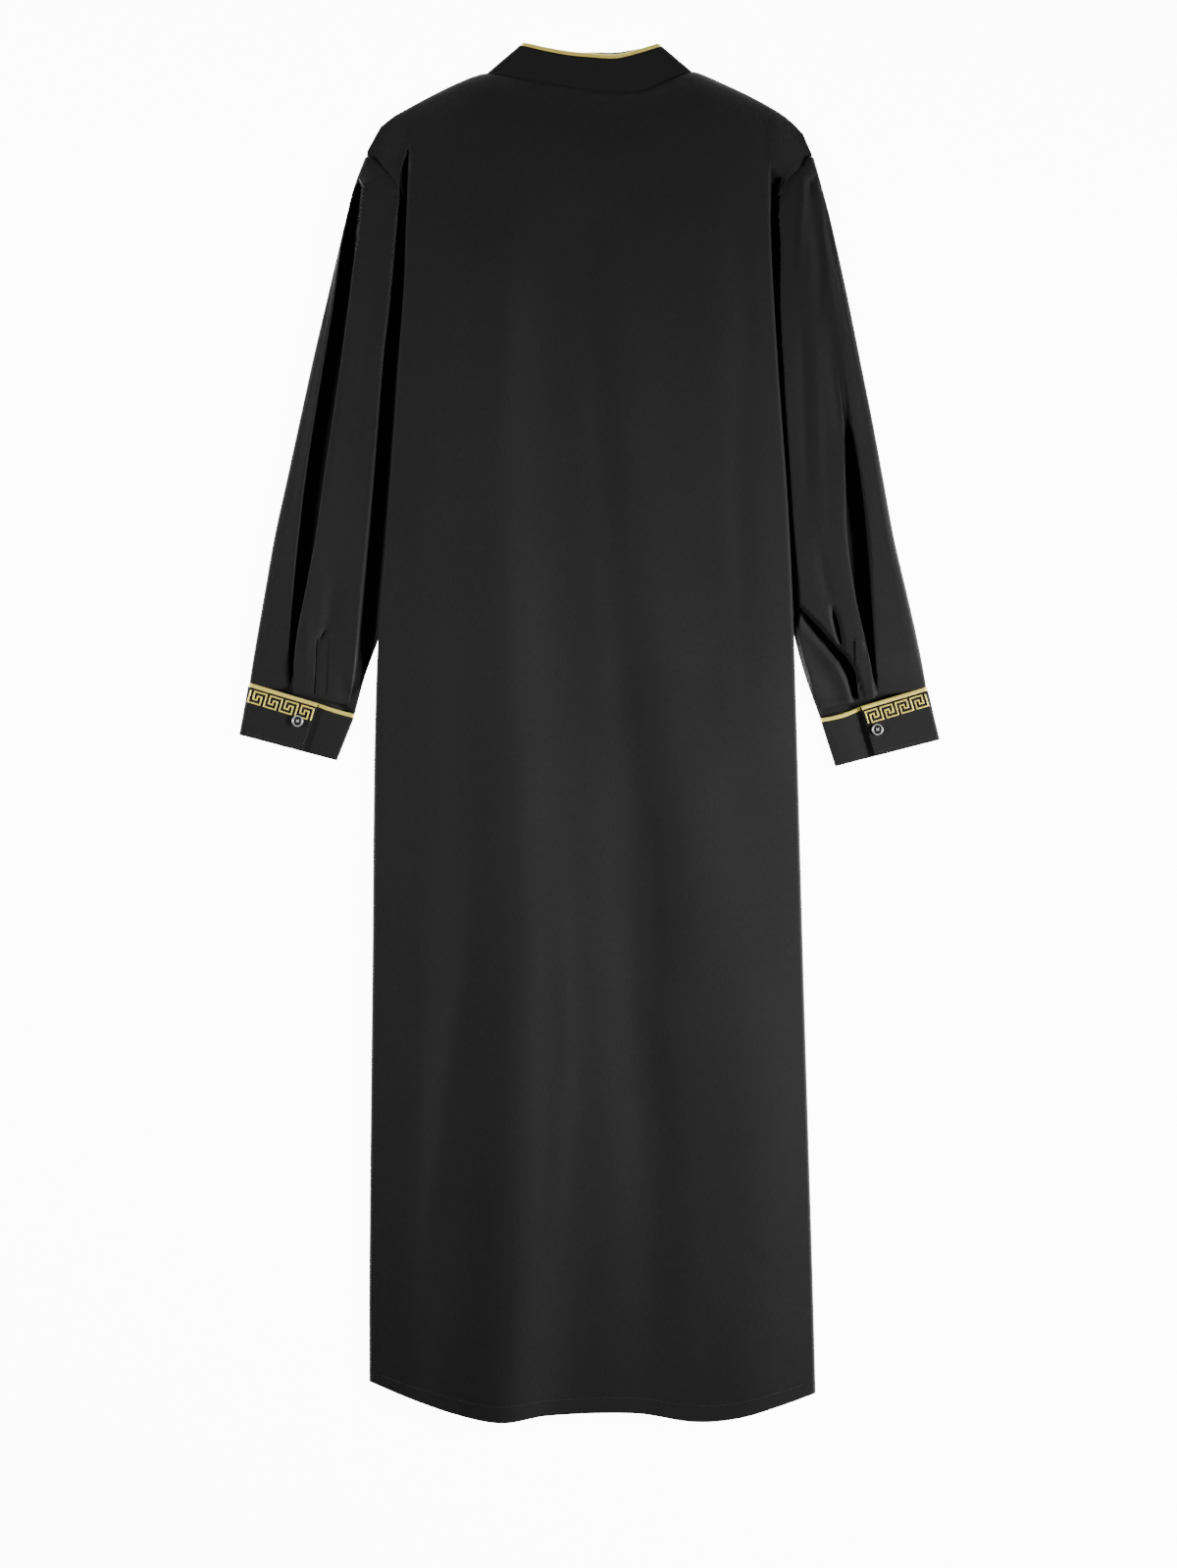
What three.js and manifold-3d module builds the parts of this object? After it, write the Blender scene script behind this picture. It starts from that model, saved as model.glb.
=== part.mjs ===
import * as THREE from "three";
import { mergeVertices } from "three/addons/utils/BufferGeometryUtils.js";
import Module from "manifold-3d";

// A long robe laid flat on its front, back upward.
// Millimetres: X to its right as seen, Y to the collar, Z up.

// Driving sizes of the cloth and its layers
const CLOTH = 1.0; // thickness of a single cloth wall
const BAND = 1.6; // thickness of collar and cuffs, sewn double
const SEAM = 0.3; // gap between two pieces at a seam
const LIFT = 3.4; // height of the body's sides where a sleeve lies below them
const BACK_FOLD = 3.6; // radius of the back panel where it turns under at the side
const FRONT_FOLD = 2.0; // radius of the front panel nested inside that turn
const NEST = BACK_FOLD - FRONT_FOLD; // step from one nested panel to the next
const FLOOR = CLOTH / 2; // middle of a cloth wall that lies on the ground
const SHOULDER_BACK = 4.3; // middle of the back panel at the shoulder seam
const SHOULDER_FRONT = 3.0; // middle of the front panel at the shoulder seam
const SLOPE = 0.9; // cosine of the shoulder slope
const SHOULDER_ROUND = 46; // distance over which the panels part from the shoulder seam
const SLEEVE_TOP = 2.6; // middle of a sleeve's upper layer where the body covers it
const APRON = 4.7; // height of the back panel beside the armhole seam above the side fold

// Driving sizes of the small pieces
const BUTTON = { across: 11.5, thick: 2.4, rim: 1.5, dish: 0.8, hole: 1.7, spread: 1.7 };
const PIPING = { wide: 3.4, thick: 1.6 };
const FRET = { unit: 1.75, line: 1.7, thick: 0.8, cells: 4, inset: 3.8, drop: 0.5, end: 1.6 };
const PLACKET = { wide: 30, long: 330, under: 2.7, buttons: 4, pitch: 92, first: 20 };
const SLIT = { wide: 11, thick: 0.8 };

const BLACK = { color: 0x1d1d1e, roughness: 0.86, metalness: 0 };
const GOLD = { color: 0xe0c878, roughness: 0.5, metalness: 0.15 };
const SILVER = { color: 0xc9ccd0, roughness: 0.25, metalness: 0.9 };

// Side folds of the body, and how far the panels run on below to the side seam or armhole
const SIDES = [
  { y: -674, left: -224, right: 230, under: 46 },
  { y: -554, left: -224, right: 227, under: 46 },
  { y: -254, left: -221, right: 218, under: 48 },
  { y: 46, left: -217, right: 209.5, under: 52 },
  { y: 216, left: -205.5, right: 202.5, under: 52 },
  { y: 366, left: -195, right: 192, under: 43 },
  { y: 456, left: -188.5, right: 186.5, under: 27 },
  { y: 516, left: -186.5, right: 184, under: 9 },
  { y: 545, left: -185, right: 184, under: -9 },
  { y: 594, left: -182, right: 183, under: -45 },
];

// Armhole seam that shows on the back, from the side fold up to the shoulder
const ARMHOLE = [
  { y: 545, left: -194, right: 193.5 },
  { y: 553, left: -195.5, right: 196 },
  { y: 578, left: -216, right: 221 },
  { y: 586, left: -227, right: 227 },
];

// Hem seen from above
const HEM = [
  { x: -224, y: -662 },
  { x: -179, y: -680 },
  { x: -134, y: -695 },
  { x: -89, y: -702.5 },
  { x: -44, y: -696 },
  { x: 46, y: -694 },
  { x: 106, y: -702.5 },
  { x: 151, y: -699 },
  { x: 196, y: -686 },
  { x: 230, y: -674 },
];

// Upper edge of the panels: shoulder seams, and the neck seam of the back
const SHOULDERS = [
  { x: -227, y: 586 },
  { x: -225, y: 597 },
  { x: -211, y: 617 },
  { x: -183, y: 635 },
  { x: -127, y: 663 },
  { x: -100, y: 670 },
  { x: -64, y: 663 },
  { x: -18, y: 655 },
  { x: 0, y: 651.5 },
  { x: 52, y: 651.5 },
  { x: 100, y: 671 },
  { x: 121, y: 666 },
  { x: 191, y: 631 },
  { x: 219, y: 606 },
  { x: 227, y: 586 },
];
const NECK = { half: 100, frontY: 596, power: 2.2, backZ: 6.5, frontZ: 2.6 };

// Soft ridges that run down the back: where each lies, how high and how wide it is
const BACK_RIDGES = [
  { y: 600, a: -92, b: 24, c: -160 },
  { y: 446, a: -96, b: 24, c: -164 },
  { y: 246, a: -96, b: 38, c: -166 },
  { y: 46, a: -84, b: 70, c: -168 },
  { y: -154, a: -74, b: 104, c: -170 },
  { y: -354, a: -74, b: 148, c: -184 },
  { y: -554, a: -78, b: 150, c: -188 },
  { y: -700, a: -88, b: 150, c: -188 },
];
const RIDGE_FORM = [
  { line: "a", rise: 8.5, wide: 42, top: 560 },
  { line: "b", rise: 4.8, wide: 38, top: 540 },
  { line: "c", rise: 3, wide: 30, top: 420 },
];
const HOLLOW = 12.5; // height of the back between its ridges

// Fold lines along each sleeve, seen from above, at the height along the body given by y
const SLEEVE_LINES = {
  left: [
    { y: 586, outer: -227.6, band: -226, ridge: -222, valley: -205, body: -190 },
    { y: 556, outer: -239, band: -237, ridge: -231, valley: -203, body: -190 },
    { y: 496, outer: -254, band: -249, ridge: -238, valley: -201, body: -187.5 },
    { y: 436, outer: -268, band: -261, ridge: -245, valley: -207, body: -190.5 },
    { y: 376, outer: -282, band: -271, ridge: -253, valley: -214, body: -194.5, inner: -149 },
    { y: 316, outer: -295, band: -281, ridge: -262, valley: -218, body: -198.5, inner: -162 },
    { y: 256, outer: -308, band: -290, ridge: -271, valley: -223, body: -203, inner: -174 },
    { y: 196, outer: -321, band: -298, ridge: -281, valley: -227, body: -207, inner: -188 },
    { y: 136, outer: -331.5, band: -303, ridge: -292, valley: -233, body: -212, inner: -203 },
    { y: 96, outer: -338.5, band: -306, ridge: -299, valley: -238, body: -222, inner: -214.5 },
    { y: 56, outer: -345, band: -307, ridge: -301, valley: -244, body: -236, inner: -229 },
    { y: 15, outer: -350, band: -303, ridge: -298, valley: -256, body: -248, inner: -240 },
  ],
  right: [
    { y: 586, outer: 227.6, band: 224, ridge: 219, valley: 205, body: 190 },
    { y: 556, outer: 236, band: 230, ridge: 225, valley: 204, body: 190 },
    { y: 496, outer: 251, band: 238, ridge: 232, valley: 198, body: 184.5 },
    { y: 436, outer: 264, band: 248, ridge: 242, valley: 197, body: 187.5 },
    { y: 376, outer: 276, band: 258, ridge: 251, valley: 200, body: 191.5, inner: 149 },
    { y: 316, outer: 288, band: 266, ridge: 259, valley: 204, body: 196, inner: 162 },
    { y: 256, outer: 299, band: 274, ridge: 260, valley: 208, body: 200.5, inner: 175 },
    { y: 196, outer: 310, band: 281, ridge: 262, valley: 213, body: 204, inner: 188 },
    { y: 136, outer: 324, band: 286, ridge: 270, valley: 218, body: 208, inner: 200.5 },
    { y: 96, outer: 333, band: 289, ridge: 279, valley: 226, body: 216, inner: 209 },
    { y: 56, outer: 341, band: 291, ridge: 284, valley: 236, body: 228, inner: 220 },
    { y: 11, outer: 348, band: 292, ridge: 288, valley: 252, body: 244, inner: 236 },
  ],
};

// Profile across a sleeve: share is the way from one fold line to the next, across the way round the
// sleeve's flat width; height and cuff are the cloth's heights along the sleeve and at its end
const SLEEVE_PROFILE = {
  left: [
    { from: "outer", to: "band", share: 0.5, across: 0.07, height: 5.6, cuff: 6.0 },
    { from: "outer", to: "band", share: 1.0, across: 0.14, height: 4.6, cuff: 5.9 },
    { from: "band", to: "ridge", share: 0.6, across: 0.2, height: 8.6, cuff: 7.6 },
    { from: "band", to: "ridge", share: 1.0, across: 0.27, height: 11.8, cuff: 8.2 },
    { from: "ridge", to: "valley", share: 0.2, across: 0.35, height: 10.6, cuff: 6.6 },
    { from: "ridge", to: "valley", share: 0.5, across: 0.47, height: 7.4, cuff: 5.0 },
    { from: "ridge", to: "valley", share: 0.8, across: 0.58, height: 4.4, cuff: 4.0 },
    { from: "ridge", to: "valley", share: 1.0, across: 0.65, height: 3.2, cuff: 4.0 },
    { from: "valley", to: "body", share: 1.0, across: 0.8, height: SLEEVE_TOP, cuff: 4.0 },
    { from: "body", to: "inner", share: 0.5, across: 0.9, height: SLEEVE_TOP, cuff: 4.0 },
  ],
  right: [
    { from: "outer", to: "band", share: 0.4, across: 0.07, height: 7.8, cuff: 6.0 },
    { from: "outer", to: "band", share: 0.75, across: 0.12, height: 6.6, cuff: 5.9 },
    { from: "outer", to: "band", share: 1.0, across: 0.17, height: 4.2, cuff: 5.4 },
    { from: "band", to: "ridge", share: 1.0, across: 0.27, height: 9.8, cuff: 8.2 },
    { from: "ridge", to: "valley", share: 0.25, across: 0.36, height: 9.4, cuff: 6.6 },
    { from: "ridge", to: "valley", share: 0.5, across: 0.46, height: 7.2, cuff: 5.0 },
    { from: "ridge", to: "valley", share: 0.8, across: 0.57, height: 4.6, cuff: 4.0 },
    { from: "ridge", to: "valley", share: 1.0, across: 0.65, height: 3.2, cuff: 4.0 },
    { from: "valley", to: "body", share: 1.0, across: 0.8, height: SLEEVE_TOP, cuff: 4.0 },
    { from: "body", to: "inner", share: 0.5, across: 0.9, height: SLEEVE_TOP, cuff: 4.0 },
  ],
};
const SLEEVE_STEPS = [
  0, 0.025, 0.06, 0.1, 0.16, 0.23, 0.3, 0.38, 0.46, 0.54, 0.62, 0.7, 0.77, 0.83, 0.89, 0.94, 0.975, 1,
];
const OUTER_ROUND = 1.9; // radius of a sleeve's outer fold
const SLEEVE_ENDS = {
  left: { top: 585.5, armpit: 365.5, outer: 49.5, inner: 17.5 },
  right: { top: 585.5, armpit: 365.5, outer: 45, inner: 13 },
};

// Corners of each cuff, where its overlap ends, its slit and its button
const CUFFS = {
  left: {
    outerTop: [-347.3, 45], innerTop: [-240.7, 13.2], outerBottom: [-356.2, -4], innerBottom: [-258, -30],
    overlap: 0.655, underlap: 0.44, button: [-297, 10], slit: { top: 92, bottom: 36, shiftTop: 4, x: -279 },
  },
  right: {
    outerTop: [344.3, 41], innerTop: [236.7, 9], outerBottom: [356.2, -9], innerBottom: [251, -36],
    overlap: 0.62, underlap: 0.4, button: [293, 1.5], slit: { top: 88, bottom: 30, shiftTop: -8, x: 283 },
  },
};
const CUFF_LOW = BAND / 2;
const CUFF_UNDER = 4.0;
const CUFF_OVER = CUFF_UNDER + BAND + SEAM;

// Stand collar, from one end at the throat round the nape to the other: foot and upper edge
const COLLAR = [
  { part: 0.0, footX: -2, topX: -2, topY: 630 },
  { part: 0.12, footX: -46, topX: -32, topY: 645 },
  { part: 0.24, footX: -84, topX: -56, topY: 678 },
  { part: 0.3, footX: -98.5, topX: -67, topY: 697 },
  { part: 0.34, footX: -98.5, topX: -66, topY: 699 },
  { part: 0.4, footX: -64, topX: -42, topY: 695 },
  { part: 0.46, footX: -20, topX: -19, topY: 692 },
  { part: 0.5, footX: 2, topX: 2, topY: 690.5 },
  { part: 0.55, footX: 34, topX: 28, topY: 690.5 },
  { part: 0.61, footX: 68, topX: 53, topY: 694 },
  { part: 0.66, footX: 99, topX: 70, topY: 697.5 },
  { part: 0.7, footX: 98.5, topX: 70, topY: 695.5 },
  { part: 0.76, footX: 84, topX: 60, topY: 677 },
  { part: 0.88, footX: 46, topX: 34, topY: 644 },
  { part: 1.0, footX: 2, topX: 2, topY: 630 },
];

const garment = new THREE.Group();

// Small helpers of arithmetic
const { lerp, clamp } = THREE.MathUtils;
const ease = (value) => THREE.MathUtils.smoothstep(value, 0, 1);

// A smooth curve through one column of a table, read at a value of its key column
function column(table, key, name) {
  const rows = table.filter((row) => row[name] !== undefined).sort((p, q) => p[key] - q[key]);
  const slope = (i) => {
    const before = rows[Math.max(i - 1, 0)];
    const after = rows[Math.min(i + 1, rows.length - 1)];
    return (after[name] - before[name]) / (after[key] - before[key]);
  };
  return (value) => {
    const last = rows.length - 2;
    let i = 0;
    while (i < last && value > rows[i + 1][key]) i += 1;
    const [low, high] = [rows[i], rows[i + 1]];
    const span = high[key] - low[key];
    const t = clamp((value - low[key]) / span, 0, 1);
    const rise = high[name] - low[name];
    const [s0, s1] = [slope(i) * span, slope(i + 1) * span];
    return low[name] + t * s0 + t * t * (3 * rise - 2 * s0 - s1) + t * t * t * (s0 + s1 - 2 * rise);
  };
}

// A closed wall of even thickness round a grid of middle points; cells that keep refuses are left open
function wallFromGrid(grid, thickness, { ring = false, keep = () => true } = {}) {
  const rows = grid.length;
  const columns = grid[0].length;
  const cells = ring ? columns : columns - 1;
  const wrap = (j) => (j + columns) % columns;
  const point = (i, j) => {
    const row = grid[clamp(i, 0, rows - 1)];
    return ring ? row[wrap(j)] : row[clamp(j, 0, columns - 1)];
  };
  const positions = [];
  const normal = new THREE.Vector3();
  for (let side = 1; side >= -1; side -= 2) {
    for (let i = 0; i < rows; i += 1) {
      for (let j = 0; j < columns; j += 1) {
        const along = point(i + 1, j).clone().sub(point(i - 1, j));
        const across = point(i, j + 1).clone().sub(point(i, j - 1));
        normal.crossVectors(across, along).normalize();
        const place = point(i, j).clone().addScaledVector(normal, (side * thickness) / 2);
        positions.push(place.x, place.y, place.z);
      }
    }
  }
  const index = (side, i, j) => side * rows * columns + i * columns + wrap(j);
  const kept = (i, j) => {
    if (i < 0 || i >= rows - 1) return false;
    if (!ring && (j < 0 || j >= cells)) return false;
    return keep(i, ring ? wrap(j) : j);
  };
  const faces = [];
  const quad = (a, b, c, d) => faces.push(a, b, c, a, c, d);
  for (let i = 0; i < rows - 1; i += 1) {
    for (let j = 0; j < cells; j += 1) {
      if (!kept(i, j)) continue;
      quad(index(0, i, j), index(0, i, j + 1), index(0, i + 1, j + 1), index(0, i + 1, j));
      quad(index(1, i, j), index(1, i + 1, j), index(1, i + 1, j + 1), index(1, i, j + 1));
      if (!kept(i - 1, j)) quad(index(0, i, j), index(1, i, j), index(1, i, j + 1), index(0, i, j + 1));
      if (!kept(i + 1, j)) {
        quad(index(0, i + 1, j), index(0, i + 1, j + 1), index(1, i + 1, j + 1), index(1, i + 1, j));
      }
      if (!kept(i, j - 1)) quad(index(0, i, j), index(0, i + 1, j), index(1, i + 1, j), index(1, i, j));
      if (!kept(i, j + 1)) {
        quad(index(0, i, j + 1), index(1, i, j + 1), index(1, i + 1, j + 1), index(0, i + 1, j + 1));
      }
    }
  }
  return closedBody(positions, faces);
}

// A geometry from points and triangles, turned so that its faces point out
function closedBody(positions, faces) {
  const corner = (k) => new THREE.Vector3().fromArray(positions, 3 * k);
  let volume = 0;
  for (let k = 0; k < faces.length; k += 3) {
    volume += corner(faces[k]).dot(corner(faces[k + 1]).cross(corner(faces[k + 2])));
  }
  if (volume < 0) faces.reverse();
  const geometry = new THREE.BufferGeometry();
  geometry.setAttribute("position", new THREE.Float32BufferAttribute(positions, 3));
  geometry.setIndex(faces);
  geometry.computeVertexNormals();
  return geometry;
}

// A piping cord with an oval section along a route; axial is the direction across the seam
function cordAlong(route, axial, wide, thick, sides = 8) {
  const positions = [];
  const faces = [];
  route.forEach((place, i) => {
    const ahead = route[Math.min(i + 1, route.length - 1)];
    const behind = route[Math.max(i - 1, 0)];
    const run = ahead.clone().sub(behind).normalize();
    const side = axial(i).clone().addScaledVector(run, -axial(i).dot(run)).normalize();
    const out = side.clone().cross(run).normalize();
    for (let k = 0; k < sides; k += 1) {
      const angle = (2 * Math.PI * k) / sides;
      const point = place.clone();
      point.addScaledVector(side, (Math.cos(angle) * wide) / 2);
      point.addScaledVector(out, (Math.sin(angle) * thick) / 2);
      positions.push(point.x, point.y, point.z);
    }
  });
  const at = (i, k) => i * sides + (k % sides);
  for (let i = 0; i < route.length - 1; i += 1) {
    for (let k = 0; k < sides; k += 1) {
      faces.push(at(i, k), at(i, k + 1), at(i + 1, k + 1), at(i, k), at(i + 1, k + 1), at(i + 1, k));
    }
  }
  const end = route.length - 1;
  for (let k = 1; k < sides - 1; k += 1) {
    faces.push(at(0, 0), at(0, k + 1), at(0, k), at(end, 0), at(end, k), at(end, k + 1));
  }
  return closedBody(positions, faces);
}

// Adds a named mesh with a material of its own
function addPiece(name, geometry, finish) {
  const mesh = new THREE.Mesh(geometry, new THREE.MeshStandardMaterial(finish));
  mesh.name = name;
  garment.add(mesh);
  return mesh;
}

// The body's outline as functions of place
const fold = { left: column(SIDES, "y", "left"), right: column(SIDES, "y", "right") };
const tuck = column(SIDES, "y", "under");
const armhole = { left: column(ARMHOLE, "y", "left"), right: column(ARMHOLE, "y", "right") };
const hemLine = column(HEM, "x", "y");
const shoulderLine = column(SHOULDERS, "x", "y");
const ARMHOLE_SHOWS = 545;
const SHOULDER_END = 586;
const HEM_LEVEL = -680; // level at which the side folds meet the hem
const HEM_TOP = -582.5; // level above the hem where the rows are straight
const PANEL_HALF = 227;
const EDGE_ROUND = 0.17; // share of the back's width over which it rounds up from each side fold
const FOLD_TIP = 594; // level where the side folds run out towards the shoulder
const SHY = { most: 6, at: 537, over: 14 }; // how far the front keeps inside the back near the armpit

const sideLift = (y) => LIFT * ease((y - 35) / 65);

// Seam line of panel and sleeve under or beside the side fold, left side negative
function armholeSeam(side, y) {
  if (y >= ARMHOLE_SHOWS) return armhole[side](Math.min(y, SHOULDER_END));
  const inward = side === "left" ? 1 : -1;
  return fold[side](y) + inward * tuck(y);
}

// Neck seam of the front panel
function frontEdge(x) {
  const share = Math.abs(x) / NECK.half;
  if (share >= 1) return shoulderLine(x);
  const end = shoulderLine(Math.sign(x) * NECK.half);
  return lerp(NECK.frontY, end, share ** NECK.power);
}

// How far a point near the upper edge has risen from the shoulder seam, 0 at the seam and 1 inside
function partFromEdge(distance) {
  const near = 1 - clamp(distance / SHOULDER_ROUND, 0, 1);
  return Math.sqrt(1 - near * near);
}

const ridgeAt = {};
for (const name of ["a", "b", "c"]) ridgeAt[name] = column(BACK_RIDGES, "y", name);

// Height of the back between its side folds
function backHeight(x, y, edgeShare) {
  let height = lerp(sideLift(y) + FLOOR + 2 * BACK_FOLD, HOLLOW + 0.6 * sideLift(y), edgeShare);
  for (const ridge of RIDGE_FORM) {
    const away = (x - ridgeAt[ridge.line](y)) / ridge.wide;
    height += ridge.rise * Math.exp(-away * away) * (1 - ease((y - ridge.top + 130) / 130)) * edgeShare;
  }
  return height;
}

// Turn of a panel at its side, from the fold outward and under, for one row
function sideTurn(side, y, radius, nest, seamX, topZ) {
  const inward = side === "left" ? 1 : -1;
  const shy = nest > 0 ? SHY.most * Math.exp(-(((y - SHY.at) / SHY.over) ** 2)) : 0;
  const foldX = fold[side](Math.min(y, FOLD_TIP)) + inward * (nest + shy);
  const run = (seamX - foldX) * inward;
  const lowZ = topZ - 2 * radius;
  const at = (dx, z) => ({ x: foldX + inward * dx, z });
  if (y > ARMHOLE_SHOWS - 4) {
    // Above the fold's end the panel steps down and runs out to the armhole seam
    const fade = 1 - ease((y - ARMHOLE_SHOWS) / 45);
    const seamZ = lerp(SHOULDER_BACK, APRON, fade) - (nest > 0 ? CLOTH + SEAM : 0);
    const step = [0, 0.1, 0.45, 0.85, 1];
    const reach = [1.6, 0.5, 0, -0.35, -0.9];
    const points = step.map((part, k) => at(reach[k] * lerp(14, radius, fade), lerp(topZ, seamZ, part)));
    const toe = points[4].x;
    const endX = seamX + inward * shy;
    points.push({ x: lerp(toe, endX, 0.5), z: seamZ }, { x: endX, z: seamZ });
    return points;
  }
  const points = [];
  const turn = y > 520 ? 0.5 : 1;
  for (let k = 0; k <= 4; k += 1) {
    const angle = (Math.PI * turn * k) / 4;
    const center = topZ - radius;
    points.push(at(radius * (1 - Math.sin(angle)), center + radius * Math.cos(angle)));
  }
  if (turn < 1) {
    const center = topZ - radius;
    points.push(at(0, lerp(center, lowZ, 0.5)), at(0, lowZ));
    return points;
  }
  points.push(at(lerp(radius, run, 0.5), lowZ), at(run, lowZ));
  return points;
}

// Rows of a panel: straight ones up to the armhole, then ones that bend to the shoulder outline
const HEM_ROWS = [0, 0.14, 0.5, 1];
const SLOT_FOOT = NECK.frontY - SEAM - PLACKET.long - SEAM;
const LOW_ROWS = [-500, -400, -300, -200, -100, -20, 40, 72, 104, 160, 215, SLOT_FOOT, 315, 366];
const ARM_ROWS = [412, 456, 490, 516, 530, 545];
const TOP_ROWS = [0.16, 0.34, 0.52, 0.68, 0.82, 0.92, 1];

function panelRows(topEdge) {
  const rows = [];
  for (const part of HEM_ROWS) {
    rows.push({ y: (x) => lerp(hemLine(x), HEM_TOP, part), level: lerp(HEM_LEVEL, HEM_TOP, part) });
  }
  for (const level of [...LOW_ROWS, ...ARM_ROWS]) rows.push({ y: () => level, level });
  for (const part of TOP_ROWS) {
    const level = lerp(ARMHOLE_SHOWS, SHOULDER_END, part);
    rows.push({ y: (x) => lerp(ARMHOLE_SHOWS, topEdge(x), part), level, part });
  }
  return rows;
}

// Side edges of a row: the armhole seam shifted inward by half a seam
function rowEnds(row) {
  const ends = {};
  for (const side of ["left", "right"]) {
    const inward = side === "left" ? 1 : -1;
    ends[side] = armholeSeam(side, row.level) + inward * SEAM;
  }
  return ends;
}

// Back panel: turned under at both sides, ridged, rounded down to the shoulder and neck seams
function backPanel() {
  const across = 16;
  const grid = panelRows(shoulderLine).map((row) => {
    const ends = rowEnds(row);
    const edgeZ = sideLift(row.level) + FLOOR + 2 * BACK_FOLD;
    const left = sideTurn("left", row.level, BACK_FOLD, 0, ends.left, edgeZ);
    const right = sideTurn("right", row.level, BACK_FOLD, 0, ends.right, edgeZ);
    const points = left.reverse().map((p) => ({ ...p, edge: 0 }));
    const [from, to] = [points[points.length - 1].x, right[0].x];
    for (let k = 1; k < across; k += 1) {
      const x = lerp(from, to, k / across);
      const near = Math.min(1, Math.min(k, across - k) / (EDGE_ROUND * across));
      points.push({ x, edge: 1 - (1 - near) ** 2 });
    }
    points.push(...right.map((p) => ({ ...p, edge: 0 })));
    return points.map((p) => {
      const y = row.y(topX(p.x, ends, row));
      const flat = p.z ?? backHeight(p.x, y, p.edge);
      if (!row.part) return new THREE.Vector3(p.x, y, flat);
      const risen = partFromEdge(SLOPE * (shoulderLine(topX(p.x, ends, row)) - y));
      const seamZ = seamHeight(p.x, NECK.backZ, SHOULDER_BACK, NECK.half - 55, 55);
      return new THREE.Vector3(p.x, y, lerp(seamZ, flat, risen));
    });
  });
  return wallFromGrid(grid, CLOTH);
}

// Place on the upper edge that a point of a bent row runs up to
function topX(x, ends, row) {
  const share = (x - ends.left) / (ends.right - ends.left);
  return row.part ? lerp(-PANEL_HALF + SEAM, PANEL_HALF - SEAM, share) : x;
}

// Height of a panel's upper edge: one value at the neck, another along the shoulders
function seamHeight(x, neckZ, shoulderZ, from, over) {
  return lerp(neckZ, shoulderZ, ease((Math.abs(x) - from) / over));
}

// Front panel: nested in the side turns, flat on the ground between them, with a slot for the placket
function frontPanel() {
  const slot = PLACKET.wide / 2 + SEAM;
  const falls = [0.5, 1, 1.3, 1.65, 2];
  const flatSteps = 5;
  const grid = [];
  const rows = panelRows(frontEdge);
  for (const row of rows) {
    const ends = rowEnds(row);
    const edgeZ = sideLift(row.level) + FLOOR + 2 * BACK_FOLD - NEST;
    const left = sideTurn("left", row.level, FRONT_FOLD, NEST, ends.left, edgeZ).reverse();
    const right = sideTurn("right", row.level, FRONT_FOLD, NEST, ends.right, edgeZ);
    const reach = Math.max(tuck(row.level), 0) + 6;
    const slotZ = lerp(FLOOR, PLACKET.under + CLOTH / 2, ease((row.level - SLOT_FOOT + 70) / 70));
    const half = (turned, hand) => {
      // From the side turn down to the ground, then flat to the slot's edge
      const from = turned[turned.length - 1].x;
      const inner = from - 2 * hand * reach;
      const points = [...turned];
      for (const part of falls) {
        points.push({ x: from - hand * part * reach, z: lerp(edgeZ, FLOOR, ease(part - 1)) });
      }
      for (let k = 1; k < flatSteps; k += 1) {
        points.push({ x: lerp(inner, hand * slot, k / flatSteps), z: FLOOR });
      }
      points.push({ x: hand * slot, z: slotZ });
      return points;
    };
    const points = [...half(left, -1), ...half(right.reverse(), 1).reverse()];
    grid.push(points.map((p) => {
      const place = topX(p.x, ends, row);
      const y = row.y(place);
      if (!row.part) return new THREE.Vector3(p.x, y, p.z);
      const risen = partFromEdge(SLOPE * (frontEdge(place) - y));
      const atSlot = Math.abs(p.x) < slot + 1;
      const seamZ = atSlot ? FLOOR + 1.2 : seamHeight(p.x, FLOOR + 0.5, SHOULDER_FRONT, NECK.half - 2, 16);
      return new THREE.Vector3(p.x, y, lerp(seamZ, p.z, risen));
    }));
  }
  const middle = (grid[0].length - 2) / 2;
  const keep = (i, j) => j !== middle || rows[i].level < SLOT_FOOT;
  return wallFromGrid(grid, CLOTH, { keep });
}

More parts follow.
